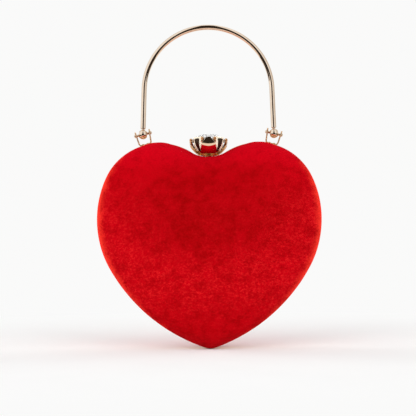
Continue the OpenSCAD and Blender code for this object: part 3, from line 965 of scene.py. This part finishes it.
def knuckle(x0, x1):
    """One round knuckle of the hinge with its bore, its edges eased."""
    a, b = x0 + RUN_GAP, x1 - RUN_GAP
    profile = [
        (HINGE_PIN_R + FIT, a),
        (KNUCKLE_R - KNUCKLE_EASE, a),
        (KNUCKLE_R - EASE_MIDDLE, a + EASE_MIDDLE),
        (KNUCKLE_R, a + KNUCKLE_EASE),
        (KNUCKLE_R, b - KNUCKLE_EASE),
        (KNUCKLE_R - EASE_MIDDLE, b - EASE_MIDDLE),
        (KNUCKLE_R - KNUCKLE_EASE, b),
        (HINGE_PIN_R + FIT, b),
    ]
    return lathe("knuckle", profile, KNUCKLE_SIDES, "X", (0, 0, HINGE_Z), loop=True)


def framed_half(half, side):
    """One gold frame: its channel, cleared at the tip, with its knuckles on."""
    frame_piece = channel(f"{half}_channel", side)
    cut(frame_piece, box_tool((-TIP_CLEAR, TIP_CLEAR), (-POCKET_Y, POCKET_Y), (-1, HINGE_Z)))
    room_r = KNUCKLE_R + KNUCKLE_GAP
    over = PIN_HEAD_T + RUN_GAP
    mid, end = MIDDLE_L / 2, BARREL_L / 2
    own = [(-mid, mid)] if half == "front" else [(-end, -mid), (mid, end)]
    others = [(-end, -mid), (mid, end)] if half == "front" else [(-mid, mid)]
    for a, b in others:
        cut(frame_piece, rod_tool(a - over, b + over, room_r))
    if half == "back":
        head_room = HINGE_PIN_R + PIN_HEAD_T + RUN_GAP
        cut(frame_piece, rod_tool(end - RUN_GAP, end + over, head_room))
        cut(frame_piece, rod_tool(-end - over, -end + RUN_GAP, head_room))
    for a, b in own:
        cut(frame_piece, rod_tool(a + RUN_GAP, b - RUN_GAP, HINGE_PIN_R + FIT))
        cut(frame_piece, knuckle(a, b), "UNION")
    sharpen(frame_piece, CREASE)
    seat(frame_piece, half, "gold", f"{half}_frame", finish=FRAME_GOLD)


framed_half("front", -1)
framed_half("back", 1)


# Handle

SHACKLE_TILT = math.asin((PIVOT_SPAN / 2 - LOBE_C[0]) / (LOBE_R + PIN_RISE))
PIVOT_Z = LOBE_C[1] + (LOBE_R + PIN_RISE) * math.cos(SHACKLE_TILT)
ARCH_Z = TOTAL_H - WIRE_D / 2 - ARCH_R
FROM_ARCH = (PIVOT_SPAN / 2, PIVOT_Z - ARCH_Z)
SPLAY = angle_of(FROM_ARCH) + math.acos(ARCH_R / math.hypot(*FROM_ARCH))
NECK_Z = BALL_D / 2 + 0.5

# Heights over the neck at which the straight leg has points, and the steps along the arch
LEG_STEPS = (0.0, 0.7, 1.4, 8.0, 20.0)
ARCH_STEPS = 120
WIRE_EASE = 0.35


def leg_point(side, z):
    """A point on the centre line of a leg, z over the centre of its ball."""
    return (side * (PIVOT_SPAN / 2 - z * math.sin(SPLAY)), SHACKLE_Y, PIVOT_Z + z * math.cos(SPLAY))


def wire_tree():
    """Sweeps a round section along the edges it is given."""
    inputs = (
        ("Path", "NodeSocketGeometry"),
        ("Radius", "NodeSocketFloat"),
        ("Sides", "NodeSocketInt"),
        ("Finish", "NodeSocketMaterial"),
    )
    s, (path, radius, sides, finish) = geometry_tree("wire_along_path", inputs, "Wire")
    line = s.add("GeometryNodeMeshToCurve", {}, {"Mesh": path})
    section = s.add("GeometryNodeCurvePrimitiveCircle", {}, {"Resolution": sides, "Radius": radius})
    values = {"Curve": line, "Profile Curve": section, "Fill Caps": True}
    return end_tree(s, s.add("GeometryNodeCurveToMesh", {}, values), finish)


def handle_path():
    """The wire's centre line, from the right ball over the arch to the left."""
    near_end = [NECK_Z + d for d in LEG_STEPS]
    points = [leg_point(1, z) for z in near_end]
    for i in range(ARCH_STEPS + 1):
        a = SPLAY + (math.pi - 2 * SPLAY) * i / ARCH_STEPS
        points.append((ARCH_R * math.cos(a), SHACKLE_Y, ARCH_Z + ARCH_R * math.sin(a)))
    return points + [leg_point(-1, z) for z in reversed(near_end)]


wire = path_piece("handle_wire", handle_path())
grow(wire, wire_tree(), {"Radius": WIRE_D / 2 * MM, "Sides": WIRE_SIDES, "Finish": GOLD})
tidy(wire, SOFT_CREASE)
bevel(wire, WIRE_EASE, ROUND_EDGE, 3)
seat(wire, "handle", "gold", "handle_rod")

# The ball's bore opens from a short waist to a turned lip at either end, a little more steeply than its
# pin lies. WAIST is half the waist's length, and MOUTH_EASE the angle at which the ball's round stops short.
BORE_FLARE = abs(math.tan(SHACKLE_TILT)) * 1.08
WAIST = 0.2
BORE_R = PIN_D / 2 / math.cos(SHACKLE_TILT) + WAIST * BORE_FLARE + RUN_GAP
LIP_T = 0.12
MOUTH_EASE = 0.05

# The collar between the ball and the wire, from its foot to its top
COLLAR_R = WIRE_D * 0.3
COLLAR_Z = NECK_Z - 0.45
COLLAR_FOOT = -0.35
COLLAR_TOP = 0.7


def ball_profile():
    """Section of a ball along its bore, with a turned edge."""
    half = BALL_D / 2
    edge = next(
        x for x in np.linspace(half, 0, 400)
        if BORE_R + BORE_FLARE * (x - WAIST) <= math.sqrt(max(half * half - x * x, 0))
    )
    mouth = math.asin(edge / half) - MOUTH_EASE
    outside = [(half * math.cos(a), half * math.sin(a)) for a in np.linspace(-mouth, mouth, 20)]
    lip = BORE_R + BORE_FLARE * (edge - WAIST)
    inside = [(lip, edge - LIP_T), (BORE_R, WAIST), (BORE_R, -WAIST), (lip, LIP_T - edge)]
    return outside + inside


def ball_with_collar(name, side):
    """One drilled ball, with the collar that takes the wire."""
    centre = (side * PIVOT_SPAN / 2, SHACKLE_Y, PIVOT_Z)
    ball = lathe(name, ball_profile(), BALL_SIDES, "X", centre, loop=True)
    profile = [(0, COLLAR_FOOT), (COLLAR_R, COLLAR_FOOT), (COLLAR_R, COLLAR_TOP), (0, COLLAR_TOP)]
    collar = lathe("collar", profile, COLLAR_SIDES)
    foot = leg_point(side, COLLAR_Z)
    lean = -side * SPLAY
    for vertex in collar.data.vertices:
        x, y, z = vertex.co
        vertex.co = (
            x * math.cos(lean) + z * math.sin(lean) + foot[0] * MM,
            y + foot[1] * MM,
            -x * math.sin(lean) + z * math.cos(lean) + foot[2] * MM,
        )
    cut(ball, collar, "UNION")
    tidy(ball, CREASE)
    return ball


seat(ball_with_collar("left_bead", -1), "handle", "gold", "left_ball")
seat(ball_with_collar("right_bead", 1), "handle", "gold", "right_ball")


def from_node(node, name, width):
    """A copy of a CAD node's mesh, merged and with its hard edges eased."""
    mesh = bpy.data.meshes.new(name)
    work = bmesh.new()
    work.from_mesh(frame["nodes"][node].data)
    bmesh.ops.remove_doubles(work, verts=work.verts, dist=NODE_WELD * MM)
    bmesh.ops.dissolve_limit(work, angle_limit=math.radians(1), verts=work.verts, edges=work.edges)
    work.to_mesh(mesh)
    work.free()
    return bevel(placed(name, mesh), width, PLATE_EDGE, 2)


# Stamped pieces, each with its body and the width of its eased edges
for node, name, body, width in (
    ("left_shackle", "left_strap", "back", 0.16),
    ("right_shackle", "right_strap", "back", 0.16),
    ("clasp_base", "clasp_foot", "back", 0.1),
    ("clasp_lever", "clasp_arm", "clasp", 0.1),
    ("catch", "clasp_catch", "front", 0.08),
):
    seat(from_node(node, name, width), body, "gold", node, finish=STRAP_GOLD)


# Crown


def crown_r(z):
    """Radius of the cup at a height over its foot."""
    rest = max(0.0, 1 - z / PETAL_H)
    return FOOT_R + (RIM_R - FOOT_R) * (1 - rest**BOWL_POWER)


def stand_in_crown(piece):
    """Leans a piece made round the crown's own axis and lifts it over the notch."""
    a = math.radians(CROWN_LEAN)
    lift = (NOTCH_Z + CROWN_RISE) * MM
    for vertex in piece.data.vertices:
        x, y, z = vertex.co
        vertex.co = (x, y * math.cos(a) + z * math.sin(a), -y * math.sin(a) + z * math.cos(a) + lift)
    return piece


def ring_tree():
    """Repeats one piece evenly round the upright axis, with every second one shifted the other way."""
    inputs = (
        ("Path", "NodeSocketGeometry"),
        ("Piece", "NodeSocketObject"),
        ("Count", "NodeSocketInt"),
        ("First turn", "NodeSocketFloat"),
        ("Pair shift", "NodeSocketFloat"),
        ("Finish", "NodeSocketMaterial"),
    )
    s, wires = geometry_tree("ring_of_pieces", inputs, "Ring")
    piece, count, first, shift, finish = wires[1:]
    one = s.add("GeometryNodeObjectInfo", {}, {"Object": piece}, "Geometry")
    spots = s.add("GeometryNodePoints", {}, {"Count": count})
    order = s.add("GeometryNodeInputIndex")
    second = s.maths("MODULO", order, 2.0)
    turn = order * (2 * math.pi) / count + first + shift * (second * 2.0 - 1.0)
    turned = s.add("ShaderNodeCombineXYZ", {}, {"Z": turn})
    values = {"Points": spots, "Instance": one, "Rotation": turned}
    return end_tree(s, s.add("GeometryNodeInstanceOnPoints", {}, values), finish)


RING = ring_tree()


def ring_of(name, template, count, first, shift, finish):
    """Grows the ring of a template, which is used up."""
    ring = path_piece(name, [(0, 0, 0), (0, 0, 1)])
    values = {"Piece": template, "Count": count, "First turn": first, "Pair shift": shift, "Finish": finish}
    grow(ring, RING, values)
    bpy.data.objects.remove(template)
    return ring


# The wide petals, and what stands between them, repeat by quarters. A shift draws the pairs of a ring
# together, or moves them apart.
QUARTERS = 4
PETAL_GAUGE = 0.4
PETAL_ROWS = 34
PETAL_EASE = 0.12
STRIP_GAUGE = 0.5
STRIP_EASE = 0.1
STRIP_OUT = 0.1
STRIP_SHIFT = math.radians(-6.6)
WALL_GAUGE = 0.35
WALL_SHIFT = math.radians(-10.5)
WALL_REACH = math.radians(17.5)
WALL_DEPTH = 0.2
WALL_FOOT_Z = 1.7
WALL_TOP_Z = PETAL_H - 0.3
CLAW_TURN = math.pi / CLAWS
CLAW_SHIFT = math.radians(3.0)
CLAW_FOOT_Z = 1.4
CLAW_H = PETAL_H - 1.5
CLAW_ROWS = 16
CLAW_SIDES = 14
KNOB_OUT = 0.1

# The shares of its width and thickness that a claw has at its foot, and how square its section is
CLAW_FOOT_W = 0.86
CLAW_FOOT_T = 0.8
CLAW_SQUARE = 0.7

# A claw stands this far behind its petal, and from this height it steps out within this rise
CLAW_BEHIND = 1.1
CLAW_STEP_Z = 6.6
CLAW_STEP_RISE = 2.4
CLAW_STEP_OUT = 0.75

# From this height a petal turns flat within this rise, and its top corners drop
FLAT_Z = 4.5
FLAT_RISE = 4.5
CORNER_DROP = 0.6

# The closed bowl under the petals, how far its floor reaches into its wall and slopes at the edge, and
# the short wall under the cup
BOWL_TOP = 2.28
BOWL_ROWS = 9
FLOOR_IN = 0.15
FLOOR_SLOPE = 0.2
SKIRT_R = 7.85
SKIRT_TOP = 0.15
SKIRT_GAUGE = 0.4
SKIRT_FLARE = 0.19
SKIRT_REACH = math.radians(100)
SKIRT_GAP = 0.15
SKIRT_LEAST = 0.1

# How far the skirt sinks for each millimetre in front of the clasp's hinge, when pressed down by 5 degrees
PRESS_DROP = math.sin(math.radians(5))
HINGE_BEHIND = 3.4

# Height, and half the width there, of the wide petals and of the dark strips between them, whose dark colour
# is painted shade
WIDE_PETAL = [
    (1.3, 2.6), (1.7, 4.5), (2.2, 5.6), (2.9, 6.2), (3.7, 6.0),
    (6.4, 5.2), (8.2, 4.5), (9.1, 3.35), (10.3, 2.6), (11.7, 1.9),
]
DARK_STRIP = [(1.6, 0.9), (3.7, 1.15), (7.5, 1.85), (10.9, 2.3)]

# Height, and how steeply the wide petals open there, in millimetres outwards for each upwards
OPENING = [(1.3, 1.08), (2.2, 1.08), (3.0, 0.9), (4.75, 0.86), (6.6, 0.33), (7.8, 0.07), (12.3, 0.0)]
OPENING_STEPS = 202


def petal_r(z):
    """Radius of a wide petal: it opens evenly from the bowl, then turns upright in a short bend."""
    levels, slopes = zip(*OPENING)
    fine = np.linspace(levels[0], levels[-1], OPENING_STEPS + 1)
    opened = np.interp((fine[1:] + fine[:-1]) / 2, levels, slopes) * np.diff(fine)
    opened = np.concatenate([[0], np.cumsum(opened)])
    return crown_r(levels[1]) + float(np.interp(z, fine, opened) - np.interp(levels[1], fine, opened))


def petal_sheet(shape, radius_at, across):
    """One petal that faces +X, bowed at its foot and flat across at its top."""
    levels, widths = zip(*shape)
    heights = np.linspace(levels[0], levels[-1], PETAL_ROWS)
    points = []
    for z in heights:
        r_here = radius_at(z)
        half = math.asin(float(np.interp(z, levels, widths)) / r_here)
        flat = min(1.0, max(0.0, (z - FLAT_Z) / FLAT_RISE)) ** 1.2
        high = (z - levels[0]) / (levels[-1] - levels[0])
        for i in range(across + 1):
            u = 2 * i / across - 1
            a = u * half
            r = r_here * (1 - flat + flat / math.cos(a))
            drop = CORNER_DROP * high**8 * abs(u) ** 3
            points.append(polar(r, a, z - drop))
    return sheet_piece("petal", points, len(heights), across)


def wall_sheet():
    """A part of the cup's inner wall, seen between a wide petal and a dark strip."""
    across = 16
    heights = np.linspace(WALL_FOOT_Z, WALL_TOP_Z, 16)
    points = []
    for z in heights:
        for i in range(across + 1):
            points.append(polar(crown_r(z) - WALL_DEPTH, (2 * i / across - 1) * WALL_REACH, z))
    return sheet_piece("wall", points, len(heights), across)


def thickened(sheet, thickness):
    """A sheet turned outwards from the crown's axis and made solid towards it."""
    work = bmesh.new()
    work.from_mesh(sheet.data)
    bmesh.ops.remove_doubles(work, verts=work.verts, dist=SHEET_WELD * MM)
    bmesh.ops.recalc_face_normals(work, faces=work.faces)
    outward = 0.0
    for face in work.faces:
        spot = face.calc_center_median()
        outward += face.normal.x * spot.x + face.normal.y * spot.y
    if outward < 0:
        bmesh.ops.reverse_faces(work, faces=work.faces)
    work.to_mesh(sheet.data)
    work.free()
    solid = sheet.modifiers.new("thickness", "SOLIDIFY")
    solid.thickness = thickness * MM
    solid.offset = -1
    solid.use_even_offset = True
    return settle(sheet)


def claw_r(z):
    """A claw stands behind its petal, and steps out to hold the stone above the petal's shoulder."""
    out = min(1.0, max(0.0, (z - CLAW_STEP_Z) / CLAW_STEP_RISE))
    return crown_r(z) - CLAW_BEHIND + CLAW_STEP_OUT * out * out * (3 - 2 * out)


def claw_rod():
    """One claw: a slim strap up the cup with a round knob on top."""
    rings = []
    step = 0.01
    for j in range(CLAW_ROWS + 1):
        share = j / CLAW_ROWS
        z = CLAW_FOOT_Z + (CLAW_H - CLAW_FOOT_Z) * share
        lean = math.atan((crown_r(z + step) - crown_r(z - step)) / (2 * step))
        half_w = CLAW_W / 2 * (CLAW_FOOT_W + (1 - CLAW_FOOT_W) * share)
        half_t = CLAW_T / 2 * (CLAW_FOOT_T + (1 - CLAW_FOOT_T) * share)
        centre = claw_r(z)
        ring = []
        for i in range(CLAW_SIDES):
            a = 2 * math.pi * i / CLAW_SIDES
            c, s = math.cos(a), math.sin(a)
            out = half_t * math.copysign(abs(c) ** CLAW_SQUARE, c)
            wide = half_w * math.copysign(abs(s) ** CLAW_SQUARE, s)
            ring.append((centre + out * math.cos(lean), wide, z - out * math.sin(lean)))
        rings.append(ring)
    top = (claw_r(CLAW_H), 0, CLAW_H)
    foot = (claw_r(CLAW_FOOT_Z), 0, CLAW_FOOT_Z)
    rod = new_piece("claw", *stack(rings, closed_top=top, closed_bottom=foot))
    angles = [math.pi * (i / 12 - 0.5) for i in range(1, 12)]
    round_part = [(KNOB_R * math.cos(a), KNOB_R * math.sin(a)) for a in angles]
    profile = [(0, -KNOB_R)] + round_part + [(0, KNOB_R)]
    knob = lathe("knob", profile, KNOB_SIDES, "Z", (top[0] + KNOB_OUT, 0, CLAW_H))
    return cut(rod, knob, "UNION")


def bowl_section():
    """The cup's closed foot with its floor, as a closed profile round the crown's axis."""
    outside = [(crown_r(z), z) for z in np.linspace(0, BOWL_TOP, BOWL_ROWS)]
    inside = [(crown_r(z) - PETAL_T, z) for z in np.linspace(BOWL_TOP, 0, BOWL_ROWS)]
    return outside + inside


def floor_section():
    """The floor of the cup, with the screw's hole in its middle."""
    edge = crown_r(FLOOR_Z + FLOOR_T / 2) - PETAL_T + FLOOR_IN
    top = FLOOR_Z + FLOOR_T
    return [(SCREW_HOLE_R, FLOOR_Z), (edge - FLOOR_SLOPE, FLOOR_Z), (edge, top), (SCREW_HOLE_R, top)]


def skirt_sheet():
    """A short wall under the front and the sides of the cup, whose lower edge follows the notch."""
    lean = math.radians(CROWN_LEAN)
    rows, across = 6, 60
    points = []
    for j in range(rows):
        for i in range(across + 1):
            a = -math.pi / 2 + SKIRT_REACH * (2 * i / across - 1)
            x, y = polar(SKIRT_R, a, 0)[:2]
            pressed_down = PRESS_DROP * (HINGE_BEHIND - min(0.0, y))
            over_notch = NOTCH_R - math.sqrt(NOTCH_R**2 - x * x) + SKIRT_GAP + pressed_down
            edge = (over_notch - CROWN_RISE + y * math.sin(lean)) / math.cos(lean)
            low = min(SKIRT_TOP - SKIRT_LEAST, edge)
            z = SKIRT_TOP + (low - SKIRT_TOP) * j / (rows - 1)
            points.append(polar(SKIRT_R + SKIRT_FLARE * (z - SKIRT_TOP), a, z))
    return sheet_piece("crown_skirt", points, rows, across)


def crown_piece(piece, finish, *nodes, crease=CREASE):
    """Stands a piece made round the crown's axis in its place on the clasp."""
    tidy(piece, crease)
    seat(stand_in_crown(piece), "clasp", "gold", *nodes, finish=finish)


petal = thickened(petal_sheet(WIDE_PETAL, petal_r, 18), PETAL_GAUGE)
cup = ring_of("crown_petals", petal, QUARTERS, 0.0, 0.0, PETAL_GOLD)
bevel(cup, PETAL_EASE, ROUND_EDGE, 2)
cut(cup, lathe("foot", bowl_section(), CUP_SIDES, loop=True), "UNION")
cut(cup, lathe("plate", floor_section(), CUP_SIDES, loop=True), "UNION")
crown_piece(cup, PETAL_GOLD, "crown_cup")

crown_piece(thickened(skirt_sheet(), SKIRT_GAUGE), FOOT_GOLD)

# The cup's inner wall is cream as a painted highlight between the petals
wall = ring_of("crown_wall", wall_sheet(), QUARTERS, math.pi / QUARTERS, WALL_SHIFT, HIGHLIGHT_CREAM)
crown_piece(thickened(wall, WALL_GAUGE), HIGHLIGHT_CREAM)

# The dark strips between the wide petals: their dark colour is painted shade
strip = thickened(petal_sheet(DARK_STRIP, lambda z: crown_r(z) + STRIP_OUT, 8), STRIP_GAUGE)
strips = ring_of("crown_strips", strip, QUARTERS, math.pi / QUARTERS, STRIP_SHIFT, STRIP_PAINTED_SHADE)
crown_piece(bevel(strips, STRIP_EASE, ROUND_EDGE, 2), STRIP_PAINTED_SHADE)

claws = ring_of("crown_prongs", claw_rod(), CLAWS, CLAW_TURN, CLAW_SHIFT, AMBER_GOLD)
crown_piece(claws, AMBER_GOLD, "crown_claws", crease=SOFT_CREASE)


# How far the stone's upper facets lie under its top, and how it clears its seat at the back
TABLE_DOWN = 0.3
STAR_DOWN = 1.3
CULET_IN = 0.1
CULET_UP = 0.05

# Sides of the stone's table. Its girdle has twice as many.
FACETS = 8


def cut_stone():
    """A round stone with a table, star and kite facets, and a flat-ended back."""
    def ring(radius, z, count, offset):
        return [polar(radius, 2 * math.pi * (i + offset) / count, z) for i in range(count)]

    n, m = FACETS, 2 * FACETS
    table = ring(STONE_TABLE_R, STONE_TOP - TABLE_DOWN, n, 0.5)
    star = ring(STONE_STAR_R, STONE_TOP - STAR_DOWN, n, 0.0)
    high = ring(STONE_R, GIRDLE_Z + GIRDLE_T, m, 0.0)
    low = ring(STONE_R, GIRDLE_Z, m, 0.0)
    back = ring(CULET_R - CULET_IN, CULET_Z + CULET_UP, n, 0.5)
    points = table + star + high + low + back
    t, s, h, w, b = 0, n, 2 * n, 2 * n + m, 2 * n + 2 * m
    faces = [tuple(range(n)), tuple(b + i for i in reversed(range(n)))]
    for i in range(n):
        nxt = (i + 1) % n
        mid, right = (2 * i + 1) % m, (2 * i + 2) % m
        faces.append((t + i, s + nxt, t + nxt))
        faces.append((t + i, s + i, h + mid, s + nxt))
        faces.append((s + i, h + 2 * i, h + mid))
        faces.append((s + nxt, h + mid, h + right))
        faces.append((b + i, w + 2 * i, w + mid))
        faces.append((b + i, w + mid, w + right))
        faces.append((b + i, w + right, b + nxt))
    for i in range(m):
        k = (i + 1) % m
        faces.append((h + i, w + i, w + k, h + k))
    stone = new_piece("clear_stone", points, faces, smooth=False)
    return stand_in_crown(stone)


seat(cut_stone(), "clasp", "stone", "stone")


# Floor, lamps and camera

# The studio's tones are linear. Its sizes are in metres, the floor's reach in millimetres, turns in degrees.
PALE = (0.955, 0.955, 0.95, 1.0)
FLOOR_DARK = (0.89, 0.89, 0.885, 1.0)
FLOOR_LIGHT = (0.92, 0.92, 0.915, 1.0)
FLOOR_REACH = 6000
FLOOR_FADE = (0.1, 0.42)
ROOM_LIGHT = 0.72
AIM_Z = 0.1
CARD_FAR = 2.4
CARD_DIM = 0.88
TABLE_R = 0.36

CAMERA_X = -0.0009
CAMERA_Z = 0.1062
CAMERA_FAR = 1.2
CAMERA_ROLL = 0.55

# The width that the camera sees at the purse, and the lens's sensor in millimetres
SEEN_WIDTH = 0.3157
SENSOR = 36.0


def floor_finish():
    """A white floor that keeps the shadow near the object and joins the pale backdrop further out."""
    f = Finish("pale_floor")
    grain = f.noise(60)
    tone = f.mix(FLOOR_DARK, FLOOR_LIGHT, grain)
    matt = f.add("ShaderNodeBsdfDiffuse", {}, {"Color": tone, "Roughness": 0.5})
    glow = f.add("ShaderNodeEmission", {}, {"Color": PALE, "Strength": 1.0})
    far = f.add("ShaderNodeVectorMath", {"operation": "LENGTH"}, {0: f.place}, "Value")
    fade = f.spread(far, *FLOOR_FADE)
    return f.end(f.add("ShaderNodeMixShader", {}, {0: fade, 1: matt, 2: glow}))


floor_corners = [(x * FLOOR_REACH, y * FLOOR_REACH, 0) for x, y in ((-1, -1), (1, -1), (1, 1), (-1, 1))]
floor = open_piece("floor", floor_corners, [], [(0, 1, 2, 3)])
paint(floor, floor_finish())


def pale_world(level):
    """Pale where it is seen or mirrored, and a plain level of light elsewhere."""
    world = bpy.data.worlds.new("studio")
    bpy.context.scene.world = world
    world.use_nodes = True
    s = Sheet(world.node_tree)
    s.tree.nodes.clear()
    seen = s.add("ShaderNodeLightPath", output="Is Camera Ray")
    glossy = s.add("ShaderNodeLightPath", output="Is Glossy Ray")
    through = s.add("ShaderNodeLightPath", output="Is Transmission Ray")
    either = s.maths("MAXIMUM", s.maths("MAXIMUM", seen, glossy), through)
    lit = s.add("ShaderNodeBackground", {}, {"Color": (1, 1, 1, 1), "Strength": level})
    pale = s.add("ShaderNodeBackground", {}, {"Color": PALE, "Strength": 1.0})
    both = s.add("ShaderNodeMixShader", {}, {0: either, 1: lit, 2: pale})
    s.add("ShaderNodeOutputWorld", {}, {"Surface": both})


pale_world(ROOM_LIGHT)


def studio_place(azimuth, elevation, distance):
    """A place round the purse: azimuth 0 is the camera's side and 90 is the right."""
    a, e = math.radians(azimuth), math.radians(elevation)
    flat = math.cos(e) * distance
    return Vector((math.sin(a) * flat, -math.cos(a) * flat, math.sin(e) * distance + AIM_Z))


def softbox(name, azimuth, elevation, distance, width, height, power):
    """A rectangular lamp that is aimed at the purse and that nothing mirrors."""
    data = bpy.data.lights.new(name, "AREA")
    data.shape = "RECTANGLE"
    data.size, data.size_y = width, height
    data.energy = power
    lamp = bpy.data.objects.new(name, data)
    bpy.context.scene.collection.objects.link(lamp)
    lamp.location = studio_place(azimuth, elevation, distance)
    lamp.rotation_euler = (Vector((0, 0, AIM_Z)) - lamp.location).to_track_quat("-Z", "Y").to_euler()
    lamp.visible_glossy = False


# Name, azimuth, elevation, distance, width, height, and power in watts
for lamp in (
    ("key", -34, 14, 2.2, 1.5, 1.5, 13),
    ("fill", 36, 12, 2.3, 1.5, 1.5, 12),
    ("left_strip", -116, 4, 1.8, 0.5, 1.6, 22),
    ("right_strip", 116, 4, 1.8, 0.5, 1.6, 16),
):
    softbox(*lamp)


def studio_card(name, tone, points, faces):
    """A part of the studio that only polished pieces and the stone mirror."""
    mesh = bpy.data.meshes.new(name)
    mesh.from_pydata(points, [], faces)
    card = placed(name, mesh)
    f = Finish(name + "_cloth")
    weave = f.noise(60)
    colour = f.mix(tuple(c * CARD_DIM for c in tone) + (1.0,), tone + (1.0,), weave)
    paint(card, f.end(f.add("ShaderNodeEmission", {}, {"Color": colour})))
    card.visible_camera = False
    card.visible_diffuse = False
    card.visible_shadow = False


def wall_card(name, tone, rows):
    """A curved card. Each row gives an elevation, and the first and last azimuth there, in degrees."""
    across = 12
    points = [
        tuple(studio_place(first + (last - first) * i / across, elevation, CARD_FAR))
        for elevation, first, last in rows for i in range(across + 1)
    ]
    studio_card(name, tone, points, sheet_faces(len(rows), across))


def floor_card(name, tone, near, far, first, last, height):
    """A flat sector of a ring just over the floor, between two distances and two azimuths."""
    across = 24
    points = []
    for distance in (near, far):
        for i in range(across + 1):
            a = math.radians(first + (last - first) * i / across)
            points.append((math.sin(a) * distance, -math.cos(a) * distance, height))
    studio_card(name, tone, points, sheet_faces(2, across))


wall_card("dark_camera_side", (0.03, 0.02, 0.015), [
    (-2.6, -27, 27), (8, -26, 26), (16, -20, 20), (30, -14, 14), (50, -14, 14), (70, -22, 22), (85, -70, 70),
])
floor_card("dark_room", (0.04, 0.028, 0.02), TABLE_R, 2.5, -105, 95, 0.0006)
floor_card("warm_table", (0.95, 0.79, 0.69), 0.0, TABLE_R, -180, 180, 0.0004)
wall_card("grey_sweep_left", (0.62, 0.60, 0.57), [(-2, -168, -128), (30, -168, -128), (60, -165, -130)])
wall_card("grey_sweep_right", (0.72, 0.69, 0.65), [(-2, 56, 160), (30, 58, 160), (60, 66, 160)])


def make_camera():
    """A long lens straight in front, rolled a little as in the photo."""
    data = bpy.data.cameras.new("camera")
    data.sensor_width = SENSOR
    data.lens = SENSOR * CAMERA_FAR / SEEN_WIDTH
    data.dof.use_dof = False
    data.clip_end = 50
    camera = bpy.data.objects.new("camera", data)
    bpy.context.scene.collection.objects.link(camera)
    camera.location = (CAMERA_X, -CAMERA_FAR, CAMERA_Z)
    camera.rotation_mode = "XYZ"
    camera.rotation_euler = (math.pi / 2, math.radians(CAMERA_ROLL), 0)
    bpy.context.scene.camera = camera


make_camera()
bpy.context.scene.view_settings.view_transform = "Standard"
